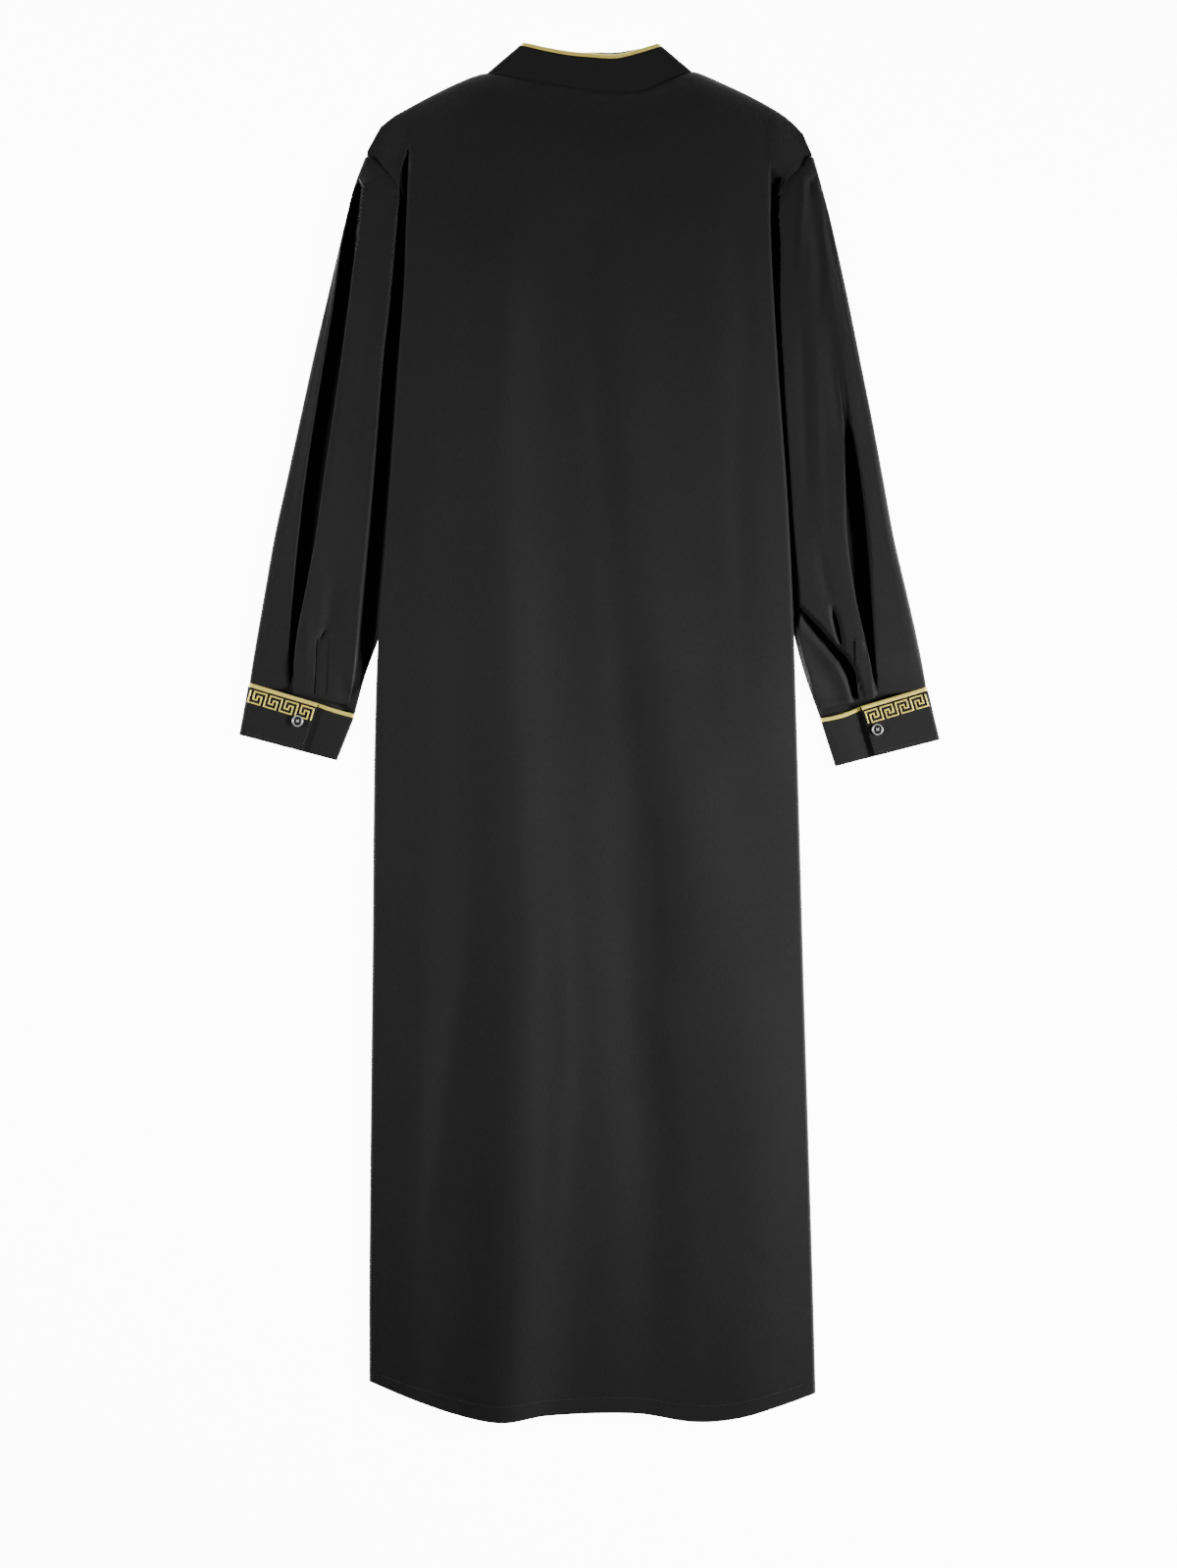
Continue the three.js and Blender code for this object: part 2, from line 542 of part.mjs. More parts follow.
// A sleeve: a flat tube from the armhole to the cuff, its upper layer folded along the sleeve's lines
function sleeveGrid(side) {
  const sign = side === "left" ? -1 : 1;
  const lines = {};
  for (const name of ["outer", "band", "ridge", "valley", "body", "inner"]) {
    lines[name] = column(SLEEVE_LINES[side], "y", name);
  }
  const ends = SLEEVE_ENDS[side];
  const seamX = (y) => armholeSeam(side, y) + sign * SEAM;
  return SLEEVE_STEPS.map((step) => {
    const outerY = lerp(ends.top, ends.outer, step);
    const innerY = lerp(ends.armpit, ends.inner, step);
    const nearCuff = ease((step - 0.86) / 0.14);
    const place = (lineX, across, z = FLOOR) => {
      const y = lerp(outerY, innerY, across);
      const leave = across > 0 ? ease(step / (0.03 + 0.32 * across)) : 1;
      const x = lerp(seamX(y), lineX(y), leave);
      const bared = y > ARMHOLE_SHOWS ? seamX(y) : fold[side](y);
      const clear = ease((Math.abs(x) - Math.abs(bared) - (y > ARMHOLE_SHOWS ? 2 : 10)) / 16);
      const low = lerp(SLEEVE_TOP, SHOULDER_BACK, ease((y - ARMHOLE_SHOWS) / 16));
      return { x, y, z: lerp(low, z, Math.max(clear, nearCuff)) };
    };
    const outer = place(lines.outer, 0);
    const inner = place(lines.inner, 1);
    const outerRadius = lerp(OUTER_ROUND, (CUFF_OVER - FLOOR) / 2, nearCuff);
    const innerRadius = lerp((SLEEVE_TOP - FLOOR) / 2, (CUFF_UNDER - FLOOR) / 2, nearCuff);
    const width = Math.hypot(inner.x - outer.x, inner.y - outer.y);
    const way = { x: (inner.x - outer.x) / width, y: (inner.y - outer.y) / width };
    const ring = [];
    const arc = (edge, radius, towards, from, to) => {
      for (let k = 0; k <= 3; k += 1) {
        const angle = lerp(from, to, k / 3);
        const shift = towards * radius * (1 - Math.abs(Math.sin(angle)));
        ring.push(new THREE.Vector3(edge.x + way.x * shift, edge.y + way.y * shift,
          FLOOR + radius - radius * Math.cos(angle)));
      }
    };
    arc(outer, outerRadius, 1, 0, Math.PI);
    for (const row of SLEEVE_PROFILE[side]) {
      const lineX = (y) => lerp(lines[row.from](y), lines[row.to](y), row.share);
      const p = place(lineX, row.across, lerp(row.height, row.cuff, nearCuff));
      ring.push(new THREE.Vector3(p.x, p.y, p.z));
    }
    arc(inner, innerRadius, -1, Math.PI, 0);
    const lower = [0.86, 0.68, 0.5, 0.32, 0.14];
    for (const across of lower) {
      const lineX = (y) => lerp(lines.outer(y), lines.inner(Math.min(y, 376)), across);
      const p = place(lineX, across);
      ring.push(new THREE.Vector3(p.x, p.y, FLOOR));
    }
    return ring;
  });
}

// A point of a cuff: across from its outer to its inner fold, down from its upper to its lower edge
function cuffPoint(cuff, across, down, z) {
  const top = [0, 1].map((k) => lerp(cuff.outerTop[k], cuff.innerTop[k], across));
  const bottom = [0, 1].map((k) => lerp(cuff.outerBottom[k], cuff.innerBottom[k], across));
  return new THREE.Vector3(lerp(top[0], bottom[0], down), lerp(top[1], bottom[1], down), z);
}

// Section of a cuff: a strip that starts under the overlap, goes round below and ends on top
function cuffSection(cuff, startAcross) {
  const width = Math.hypot(cuff.innerTop[0] - cuff.outerTop[0], cuff.innerTop[1] - cuff.outerTop[1]);
  const innerRadius = (CUFF_UNDER - CUFF_LOW) / 2;
  const outerRadius = (CUFF_OVER - CUFF_LOW) / 2;
  const section = [];
  const flat = (from, to, z, steps) => {
    for (let k = 0; k < steps; k += 1) section.push({ across: lerp(from, to, k / steps), z });
  };
  const arc = (edge, inward, radius, from, to) => {
    for (let k = 0; k <= 4; k += 1) {
      const angle = lerp(from, to, k / 4);
      const across = edge + (inward * radius * (1 - Math.sin(angle))) / width;
      section.push({ across, z: CUFF_LOW + radius + radius * Math.cos(angle) });
    }
  };
  flat(startAcross, 1 - innerRadius / width, CUFF_UNDER, 3);
  arc(1, -1, innerRadius, 0, Math.PI);
  for (let k = 1; k < 4; k += 1) section.push({ across: lerp(1, 0, k / 4), z: CUFF_LOW });
  arc(0, 1, outerRadius, Math.PI, 0);
  for (let k = 1; k <= 3; k += 1) {
    section.push({ across: lerp(outerRadius / width, cuff.overlap, k / 3), z: CUFF_OVER });
  }
  return section;
}

function cuffBand(cuff) {
  const section = cuffSection(cuff, cuff.underlap);
  const grid = [0, 0.33, 0.66, 1].map((down) => section.map((p) => cuffPoint(cuff, p.across, down, p.z)));
  return wallFromGrid(grid, BAND);
}

// Direction from a cuff's lower edge to its upper edge
function cuffAxis(cuff) {
  const top = cuffPoint(cuff, 0.5, 0, 0);
  return top.sub(cuffPoint(cuff, 0.5, 1, 0)).normalize();
}

// Piping in the seam between sleeve and cuff
function cuffPiping(cuff) {
  const axis = cuffAxis(cuff);
  const section = cuffSection(cuff, cuff.overlap + 0.012);
  const away = SEAM + PIPING.wide / 2;
  const route = section.map((p) => cuffPoint(cuff, p.across, 0, p.z).addScaledVector(axis, away));
  return cordAlong(route, () => axis, PIPING.wide, PIPING.thick);
}

// Line of a plain running key border, in its own units, one turn in and out for each cell
function keyLine(cells) {
  const cell = [[0, 0], [0, 6], [6, 6], [6, 2], [4, 2], [4, 4], [2, 4], [2, 0]];
  const line = [];
  for (let n = 0; n < cells; n += 1) {
    for (const [x, y] of cell) line.push(new THREE.Vector2(x + 8 * n, y));
  }
  line.push(new THREE.Vector2(8 * cells, 0), new THREE.Vector2(8 * cells, 6));
  return line;
}

// Outline of a line of even width with square corners
function broadLine(line, width) {
  const edge = (hand) => line.map((point, i) => {
    const before = line[Math.max(i - 1, 0)];
    const after = line[Math.min(i + 1, line.length - 1)];
    const into = i > 0 ? point.clone().sub(before).normalize() : after.clone().sub(point).normalize();
    const out = i < line.length - 1 ? after.clone().sub(point).normalize() : into.clone();
    const sideways = new THREE.Vector2(-into.y, into.x);
    if (Math.abs(into.dot(out)) < 0.5) sideways.add(new THREE.Vector2(-out.y, out.x));
    return point.clone().addScaledVector(sideways, (hand * width) / 2);
  });
  return [...edge(1), ...edge(-1).reverse()];
}

// Key border in raised cloth on the overlap of a cuff
function cuffFret(cuff) {
  const u = FRET.unit;
  const edge = cuffPoint(cuff, 1, 0, 0).sub(cuffPoint(cuff, 0, 0, 0));
  const long = cuff.overlap * edge.length() - FRET.inset - FRET.end - FRET.line / 2;
  const stretch = new THREE.Vector2(long / (8 * FRET.cells), u);
  const outline = broadLine(keyLine(FRET.cells).map((p) => p.multiply(stretch)), FRET.line);
  const along = edge.normalize();
  const down = new THREE.Vector3(-along.y, along.x, 0);
  if (down.y > 0) down.negate();
  const start = cuffPoint(cuff, 0, 0, CUFF_OVER + BAND / 2 + SEAM);
  start.addScaledVector(along, FRET.inset).addScaledVector(down, FRET.drop + FRET.line / 2);
  const shape = new THREE.Shape(outline);
  const geometry = new THREE.ExtrudeGeometry(shape, { depth: FRET.thick, bevelEnabled: false });
  const basis = new THREE.Matrix4().makeBasis(along, down, new THREE.Vector3().crossVectors(along, down));
  if (basis.elements[10] < 0) {
    geometry.translate(0, 0, -FRET.thick);
  }
  geometry.applyMatrix4(basis).translate(start.x, start.y, start.z);
  return geometry;
}

// A strip along the slit above a cuff, on the sleeve's upper layer
function slitStrip(side, sleeve, cuff) {
  const sign = side === "left" ? -1 : 1;
  const { top, bottom, shiftTop, x } = cuff.slit;
  const surface = (px, py) => {
    // The nearest cell of the sleeve's upper layer gives the height there
    let best = { miss: Infinity, z: 0 };
    for (let i = 0; i < sleeve.length - 1; i += 1) {
      for (let j = 3; j < 14; j += 1) {
        for (let s = 0; s <= 4; s += 1) {
          for (let t = 0; t <= 4; t += 1) {
            const low = sleeve[i][j].clone().lerp(sleeve[i][j + 1], s / 4);
            const spot = low.lerp(sleeve[i + 1][j].clone().lerp(sleeve[i + 1][j + 1], s / 4), t / 4);
            const miss = Math.hypot(spot.x - px, spot.y - py);
            if (miss < best.miss) best = { miss, z: spot.z };
          }
        }
      }
    }
    return best.z;
  };
  const clear = CLOTH / 2 + SEAM + SLIT.thick / 2;
  const grid = [0, 0.25, 0.5, 0.75, 1].map((part) => {
    const y = lerp(bottom, top, part);
    const edge = x + shiftTop * part;
    return [0, 0.5, 1].map((share) => {
      const px = edge + sign * share * SLIT.wide;
      return new THREE.Vector3(px, y - share * 3, surface(px, y - share * 3) + clear + 0.45);
    });
  });
  return wallFromGrid(grid, SLIT.thick);
}

// Stand collar: a double band folded flat at both sides, open at the throat
const collarAt = {};
for (const name of ["footX", "topX", "topY"]) collarAt[name] = column(COLLAR, "part", name);
const COLLAR_STEPS = 26;
const COLLAR_TURNS = [0.3, 0.66]; // where the band starts to turn at each side
const TURN_PART = 0.04;
const NECK_GAP = 1.3;

function collarFootY(part) {
  const x = collarAt.footX(part);
  const onBack = part > COLLAR_TURNS[0] + TURN_PART / 2 && part < COLLAR_TURNS[1] + TURN_PART / 2;
  return (onBack ? shoulderLine(x) : frontEdge(x)) + NECK_GAP;
}

function collarPoint(part, rise) {
  // The band turns from its front half to its back half in a half circle at each side
  const turns = COLLAR_TURNS.map((from) => clamp((part - from) / TURN_PART, 0, 1));
  const angle = Math.PI * (turns[0] - turns[1]);
  const radius = (NECK.backZ - NECK.frontZ) / 2;
  const bulge = Math.sin(angle) * radius * (part < 0.5 ? -1 : 1);
  const x = lerp(collarAt.footX(part), collarAt.topX(part), rise) + bulge;
  const y = lerp(collarFootY(part), collarAt.topY(part), rise);
  return new THREE.Vector3(x, y, NECK.frontZ + radius * (1 - Math.cos(angle)));
}

function collarParts() {
  const parts = [];
  for (let k = 0; k <= COLLAR_STEPS; k += 1) parts.push(k / COLLAR_STEPS);
  const far = (part) => COLLAR_TURNS.every((from) => Math.abs(part - from - TURN_PART / 2) > TURN_PART);
  const spread = parts.filter(far);
  for (const from of COLLAR_TURNS) {
    for (let k = 0; k <= 4; k += 1) spread.push(from + (TURN_PART * k) / 4);
  }
  return spread.sort((p, q) => p - q);
}

function collarBand() {
  const grid = [0, 0.34, 0.67, 1].map((rise) => collarParts().map((part) => collarPoint(part, rise)));
  return wallFromGrid(grid, BAND);
}

function collarPiping() {
  const parts = collarParts();
  const slant = parts.map((part) => collarPoint(part, 1).sub(collarPoint(part, 0)).normalize());
  const away = 3 * SEAM + PIPING.wide / 2;
  const route = parts.map((part, i) => collarPoint(part, 1).addScaledVector(slant[i], away));
  return cordAlong(route, (i) => slant[i], PIPING.wide, PIPING.thick);
}

// A round button with a rim, a dished face and four holes, face toward +Z
const wasm = await Module();
wasm.setup();

function solid(geometry) {
  const bare = geometry.clone();
  bare.deleteAttribute("normal");
  bare.deleteAttribute("uv");
  const merged = mergeVertices(bare, 1e-4);
  return new wasm.Manifold(new wasm.Mesh({
    numProp: 3,
    vertProperties: merged.attributes.position.array,
    triVerts: new Uint32Array(merged.index.array),
  }));
}

function buttonGeometry() {
  const half = BUTTON.across / 2;
  const profile = [
    [0, 0], [half - 0.6, 0], [half, 0.6], [half, BUTTON.thick - 0.6], [half - 0.6, BUTTON.thick],
    [half - BUTTON.rim, BUTTON.thick], [half - BUTTON.rim - 0.6, BUTTON.thick - BUTTON.dish],
    [0, BUTTON.thick - BUTTON.dish],
  ].map(([x, y]) => new THREE.Vector2(x, y));
  const disc = new THREE.LatheGeometry(profile, 18).rotateX(Math.PI / 2);
  let body = solid(disc);
  for (let k = 0; k < 4; k += 1) {
    const angle = (Math.PI / 2) * k + Math.PI / 4;
    const drill = new THREE.CylinderGeometry(BUTTON.hole / 2, BUTTON.hole / 2, 3 * BUTTON.thick, 6);
    drill.rotateX(Math.PI / 2);
    drill.translate(BUTTON.spread * Math.cos(angle), BUTTON.spread * Math.sin(angle), 0);
    body = body.subtract(solid(drill));
  }
  const cut = body.getMesh();
  const geometry = new THREE.BufferGeometry();
  geometry.setAttribute("position", new THREE.BufferAttribute(cut.vertProperties, 3));
  geometry.setIndex(new THREE.BufferAttribute(cut.triVerts, 1));
  return geometry;
}

function addButton(name, x, y, z, faceUp) {
  const mesh = addPiece(name, buttonGeometry(), SILVER);
  if (!faceUp) mesh.rotation.y = Math.PI;
  mesh.position.set(x, y, faceUp ? z : z + BUTTON.thick);
}

// The pieces of the robe
addPiece("back", backPanel(), BLACK);
addPiece("front", frontPanel(), BLACK);
addPiece("collar", collarBand(), BLACK);
addPiece("collar_piping", collarPiping(), GOLD);

for (const side of ["left", "right"]) {
  const cuff = CUFFS[side];
  const sleeve = sleeveGrid(side);
  addPiece(`sleeve_${side}`, wallFromGrid(sleeve, CLOTH, { ring: true }), BLACK);
  addPiece(`sleeve_placket_${side}`, slitStrip(side, sleeve, cuff), BLACK);
  addPiece(`cuff_${side}`, cuffBand(cuff), BLACK);
  addPiece(`cuff_piping_${side}`, cuffPiping(cuff), GOLD);
  addPiece(`cuff_fret_${side}`, cuffFret(cuff), GOLD);
  const seat = CUFF_OVER + BAND / 2 + SEAM;
  addButton(`cuff_button_${side}`, cuff.button[0], cuff.button[1], seat, true);
}

// Front placket with its underlap and buttons, raised from the ground by the buttons' thickness
function strip(wide, long, topY, z) {
  const geometry = new THREE.BoxGeometry(wide, long, CLOTH, 2, 8, 1);
  return geometry.translate(0, topY - long / 2, z + CLOTH / 2);
}
const placketTop = NECK.frontY - SEAM;
addPiece("front_placket", strip(PLACKET.wide, PLACKET.long, placketTop, PLACKET.under), BLACK);
const underlapZ = PLACKET.under + CLOTH + SEAM;
addPiece("front_underlap", strip(PLACKET.wide - 4, PLACKET.long, placketTop, underlapZ), BLACK);
for (let k = 0; k < PLACKET.buttons; k += 1) {
  addButton(`front_button_${k + 1}`, 0, placketTop - PLACKET.first - PLACKET.pitch * k, 0, false);
}

export default garment;
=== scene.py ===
import math

import bpy
import numpy as np
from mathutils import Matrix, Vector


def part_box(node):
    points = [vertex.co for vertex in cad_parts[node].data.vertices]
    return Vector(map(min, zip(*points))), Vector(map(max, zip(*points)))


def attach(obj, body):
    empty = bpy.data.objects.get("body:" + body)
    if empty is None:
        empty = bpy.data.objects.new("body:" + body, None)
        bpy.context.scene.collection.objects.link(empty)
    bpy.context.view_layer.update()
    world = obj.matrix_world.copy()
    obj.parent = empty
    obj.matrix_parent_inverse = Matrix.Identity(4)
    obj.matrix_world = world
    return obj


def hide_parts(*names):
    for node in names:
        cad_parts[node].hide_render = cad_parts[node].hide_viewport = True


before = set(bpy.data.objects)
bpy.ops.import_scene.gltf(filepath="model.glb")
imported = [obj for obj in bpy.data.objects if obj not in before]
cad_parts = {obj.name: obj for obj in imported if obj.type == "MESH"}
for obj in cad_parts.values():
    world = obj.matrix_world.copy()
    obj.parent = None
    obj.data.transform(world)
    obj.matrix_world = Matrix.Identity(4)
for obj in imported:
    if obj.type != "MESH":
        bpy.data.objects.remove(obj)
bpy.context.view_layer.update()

# Sizes are in millimetres, as a maker would give them; MM turns them into metres
MM = 0.001

# Driving sizes of the cloth and its layers
CLOTH = 0.7
BAND = 1.5
FLOOR = 0.5
LIFT = 3.4
BACK_FOLD = 3.6
FRONT_FOLD = 2.0
NEST = BACK_FOLD - FRONT_FOLD
SHOULDER_BACK = 4.3
SHOULDER_FRONT = 3.0
SHOULDER_ROUND = 46
SLOPE = 0.9
SLEEVE_TOP = 2.6
VALLEY_FLOOR = 1.5
APRON = 8.4
WEDGE_FOOT = 3.4
SEAM = 0.3
SEAM_CURL = 0.8
SEAM_UNDER = 1.2
SEAM_DEEP = 1.6
HALF_SHOULDERS = 227
ARMHOLE_SHOWS = 545
SHOULDER_END = 586
HEM_TOP = -582.5
HOLLOW = 12.5
HOLLOW_STARTS_LEFT = 0.21
HOLLOW_STARTS_RIGHT = (0.17, 0.36)
OUTER_ROUND = {"left": (3.4, 3.4), "right": (3.4, 5.0)}
NECK_HALF = 100
NECK_FRONT_Y = 596
NECK_POWER = 2.2
NECK_BACK_Z = 6.5
NECK_FRONT_Z = 2.6

# Sizes of the trim
PIPING_WIDE = 4.2
PIPING_THICK = 1.9
FRET_UNIT = 2.0
FRET_LINE = 1.4
FRET_THICK = 0.9
FRET_CELLS = 4
FRET_INSET = 3.8
FRET_DROP = 1.9
FRET_END = 1.6
CUFF_LOW = 0.8
CUFF_UNDER = 4.0
CUFF_OVER = 5.9
BUTTON_ACROSS = 11.5
BUTTON_THICK = 2.4
BUTTON_RIM = 1.4
BUTTON_DISH = 0.9
HOLE_RADIUS = 0.8
HOLE_FROM_MIDDLE = 1.7
SLIT_WIDE = 10.5


def table(names, rows):
    """A short table with named columns; None leaves a place out."""
    names = names.split()
    return [dict(zip(names, row)) for row in rows]


def strips(*groups):
    """Rows of a sleeve's profile, given in groups that each lie between two of its fold lines."""
    names = "start end share across smooth height cuff".split()
    return [dict(zip(names, (start, end, *row))) for start, end, rows in groups for row in rows]


# Side folds of the body, and how far the panels run on below to the side seam or armhole
SIDES = table("y left right under", [
    (-674, -224, 230, 46),
    (-554, -224, 227, 46),
    (-254, -221, 218, 48),
    (46, -217, 209.5, 52),
    (216, -205.5, 202.5, 52),
    (366, -195, 192, 43),
    (456, -188.5, 186.5, 27),
    (516, -186.5, 184, 9),
    (545, -185, 184, -9),
    (594, -182, 183, -45),
])

# Armhole seam that shows on the back
ARMHOLE = table("y left right", [
    (545, -194, 193.5),
    (553, -195.5, 196),
    (578, -216, 221),
    (586, -227, 227),
])

# Outer edge of the dark wedge beside each side fold
WEDGE = table("y left right", [
    (530, -194.5, 193.4),
    (545, -194.0, 194.4),
    (556, -193.5, 197.2),
    (566, -193.0, 199.6),
    (578, -189.8, 201),
    (588, -185.0, 201),
    (596, -180.5, 200),
])

# Hem seen from above
HEM = table("x y", [
    (-224, -662), (-179, -680), (-134, -695), (-89, -702.5), (-44, -696),
    (46, -694), (106, -702.5), (151, -699), (196, -686), (230, -674),
])

# Upper edge of the panels: shoulder seams, and the neck seam of the back
SHOULDERS = table("x y", [
    (-227, 586), (-225, 597), (-211, 617), (-183, 635), (-127, 663), (-100, 670),
    (-64, 663), (-18, 655), (0, 651.5), (52, 651.5), (100, 671), (121, 666),
    (191, 631), (219, 606), (227, 586),
])

# Soft ridges down the back, and the form of each
BACK_RIDGES = table("y a b c", [
    (600, -92, 24, -160),
    (446, -96, 24, -164),
    (246, -96, 38, -166),
    (46, -84, 70, -168),
    (-154, -74, 122, -170),
    (-354, -74, 172, -184),
    (-554, -78, 178, -188),
    (-700, -88, 178, -188),
])
RIDGE_FORM = table("line rise wide top", [
    ("a", 8.5, 42, 560),
    ("b", 3.0, 48, 540),
    ("c", 3, 30, 420),
])

# Fold lines along each sleeve, seen from above
SLEEVE_LINES = {
    "left": table("y outer band ridge valley body inner", [
        (586, -227.6, -227.4, -226.5, -190.5, -186, None),
        (556, -239, -238.5, -231, -193.7, -187, None),
        (526, -246.5, -246, -234.5, -195.5, -187.5, None),
        (496, -254, -252.5, -237.5, -198.5, -188.5, None),
        (436, -268, -261, -244.5, -204.5, -190.5, None),
        (376, -282, -271, -252.5, -211.5, -194.5, -149),
        (316, -295, -281, -261, -216.5, -198.5, -162),
        (256, -308, -290, -270, -221.5, -203, -174),
        (196, -321, -297, -278.5, -227, -207, -188),
        (136, -331.5, -302.5, -290, -233, -212, -203),
        (96, -338.5, -305, -297.5, -236.5, -219, -214.5),
        (56, -345, -305.5, -301, -240.5, -231, -229),
        (15, -350, -303, -298, -249, -243, -240),
    ]),
    "right": table("y outer band ridge valley body inner", [
        (586, 227.6, 224, 219, 204, 190, None),
        (556, 236, 231, 226, 196.5, 187.5, None),
        (526, 244, 236, 230, 193.6, 187, None),
        (496, 251, 240, 233, 195.2, 187.5, None),
        (436, 264, 250, 243, 194.8, 188.5, None),
        (376, 276, 258, 251, 197.6, 193, 149),
        (316, 288, 267, 258, 201.3, 196.5, 162),
        (256, 299, 277, 260, 205.3, 200.5, 175),
        (196, 310, 285, 261.5, 209.4, 204.5, 188),
        (136, 324, 288, 270.5, 214.5, 208, 200.5),
        (96, 333, 290, 279.5, 214, 211.5, 209),
        (56, 341, 292.3, 288, 224, 222, 220),
        (11, 348, 294.5, 291.5, 240, 238, 236),
    ]),
}

# Profile across a sleeve: share is the way from one fold line to the next, across the way round the
# flat width; smooth, height and cuff are heights above the lower layer where the folds fade, where
# they are full, and at the cuff
SLEEVE_PROFILE = {
    "left": strips(
        ("outer", "band", [
            (0.30, 0.050, 7.6, 7.9, 6.3), (0.65, 0.090, 8.6, 9.0, 6.3), (0.96, 0.120, 9.4, 10.0, 6.1),
            (1.00, 0.134, 9.6, 9.6, 5.9),
        ]),
        ("band", "ridge", [
            (0.03, 0.146, 9.6, 3.4, 5.8), (0.40, 0.180, 9.6, 1.5, 5.9), (0.95, 0.216, 9.8, 1.7, 6.6),
            (0.99, 0.232, 10.0, 4.4, 8.0),
        ]),
        ("ridge", "valley", [
            (0.001, 0.246, 10.2, 12.4, 8.8), (0.015, 0.258, 10.2, 12.9, 8.8),
            (0.08, 0.280, 10.2, 13.1, 8.6), (0.35, 0.380, 10.2, 12.0, 7.2),
            (0.65, 0.490, 9.8, 10.8, 5.8), (0.90, 0.580, 9.8, 10.6, 5.2),
            (0.985, 0.610, 9.9, 10.8, 5.0), (1.00, 0.628, 9.4, 10.0, 4.8),
        ]),
        ("valley", "body", [
            (0.03, 0.644, 4.0, 4.0, 4.6), (0.15, 0.670, 1.6, 1.6, 4.2), (0.50, 0.730, 1.5, 1.5, 4.0),
            (1.00, 0.800, 1.6, 1.6, 4.0),
        ]),
        ("body", "inner", [(0.50, 0.900, 2.2, 2.2, 4.0)]),
    ),
    "right": strips(
        ("outer", "band", [
            (0.25, 0.050, 8.2, 11.0, 6.3), (0.65, 0.105, 9.2, 11.4, 6.3),
            (0.95, 0.140, 9.8, 11.6, 6.1), (1.00, 0.155, 9.9, 11.2, 5.9),
        ]),
        ("band", "ridge", [
            (0.06, 0.168, 9.9, 3.4, 5.8), (0.40, 0.200, 10.0, 1.5, 6.2), (0.93, 0.230, 10.0, 1.8, 7.2),
            (0.985, 0.244, 10.0, 4.6, 8.0),
        ]),
        ("ridge", "valley", [
            (0.002, 0.256, 10.0, 11.6, 8.4), (0.02, 0.268, 10.0, 12.1, 8.6),
            (0.09, 0.290, 10.0, 12.2, 8.4), (0.35, 0.380, 10.2, 11.6, 7.2),
            (0.65, 0.490, 10.0, 11.0, 5.4), (0.90, 0.590, 9.8, 10.4, 4.8),
            (0.985, 0.615, 9.8, 10.2, 4.6), (1.00, 0.630, 9.0, 9.2, 4.4),
        ]),
        ("valley", "body", [
            (0.05, 0.645, 4.0, 4.0, 4.2), (0.25, 0.670, 1.6, 1.6, 4.0), (0.60, 0.720, 1.5, 1.5, 4.0),
            (1.00, 0.800, 1.6, 1.6, 4.0),
        ]),
        ("body", "inner", [(0.50, 0.900, 2.2, 2.2, 4.0)]),
    ),
}
INNER_ROLL = (9.4, 8.8, 8.2, 7.2, 5.8, 4.8)

# How deep the folds of each sleeve are along its length
FOLD_DEPTH = {
    "left": table("y depth", [(590, 0.95), (560, 1.0), (520, 1.0), (430, 1.0), (60, 1.0), (15, 1.0)]),
    "right": table("y depth", [
        (590, 0), (540, 0), (400, 0), (345, 0.08), (315, 0.3), (285, 0.8), (262, 1), (15, 1)]),
}

# How far the fold along the inner edge is open, along each sleeve
INNER_DEPTH = {
    "left": table("y depth", [(590, 1), (400, 1), (15, 1)]),
    "right": table("y depth", [(590, 1), (400, 1), (140, 1), (126, 0.9), (112, 0.1), (100, 0), (15, 0)]),
}
SLEEVE_ENDS = {
    "left": {"top": 585.5, "armpit": 365.5, "outer": 49.2, "inner": 17.2},
    "right": {"top": 585.5, "armpit": 365.5, "outer": 45.2, "inner": 13.2},
}

# Corners of each cuff, its overlap and its button
CUFFS = {
    "left": {
        "outer_top": (-347.3, 45), "inner_top": (-240.7, 13.2),
        "outer_bottom": (-356.2, -4), "inner_bottom": (-258, -30),
        "overlap": 0.655, "underlap": 0.44, "button": (-297, 10), "sag": 0.6,
    },
    "right": {
        "outer_top": (344.3, 41), "inner_top": (236.7, 9),
        "outer_bottom": (356.2, -9), "inner_bottom": (251, -36),
        "overlap": 0.62, "underlap": 0.4, "button": (293, 1.5), "sag": 1.8,
    },
}

# Stand collar, from one end at the throat round the nape to the other: foot and upper edge
COLLAR = table("part foot_x top_x top_y", [
    (0.0, -2, -2, 630),
    (0.12, -46, -32, 645),
    (0.24, -84, -56, 678),
    (0.3, -98.5, -67, 697),
    (0.34, -98.5, -66, 697),
    (0.4, -64, -42, 691.5),
    (0.46, -20, -19, 687.4),
    (0.5, 2, 2, 685.5),
    (0.55, 34, 28, 684.5),
    (0.61, 68, 53, 690.5),
    (0.66, 99, 70, 696),
    (0.7, 98.5, 70, 695.5),
    (0.76, 84, 60, 677),
    (0.88, 46, 34, 644),
    (1.0, 2, 2, 630),
])
COLLAR_TURNS = (0.3, 0.66)
TURN_PART = 0.04
NECK_GAP = 0.2

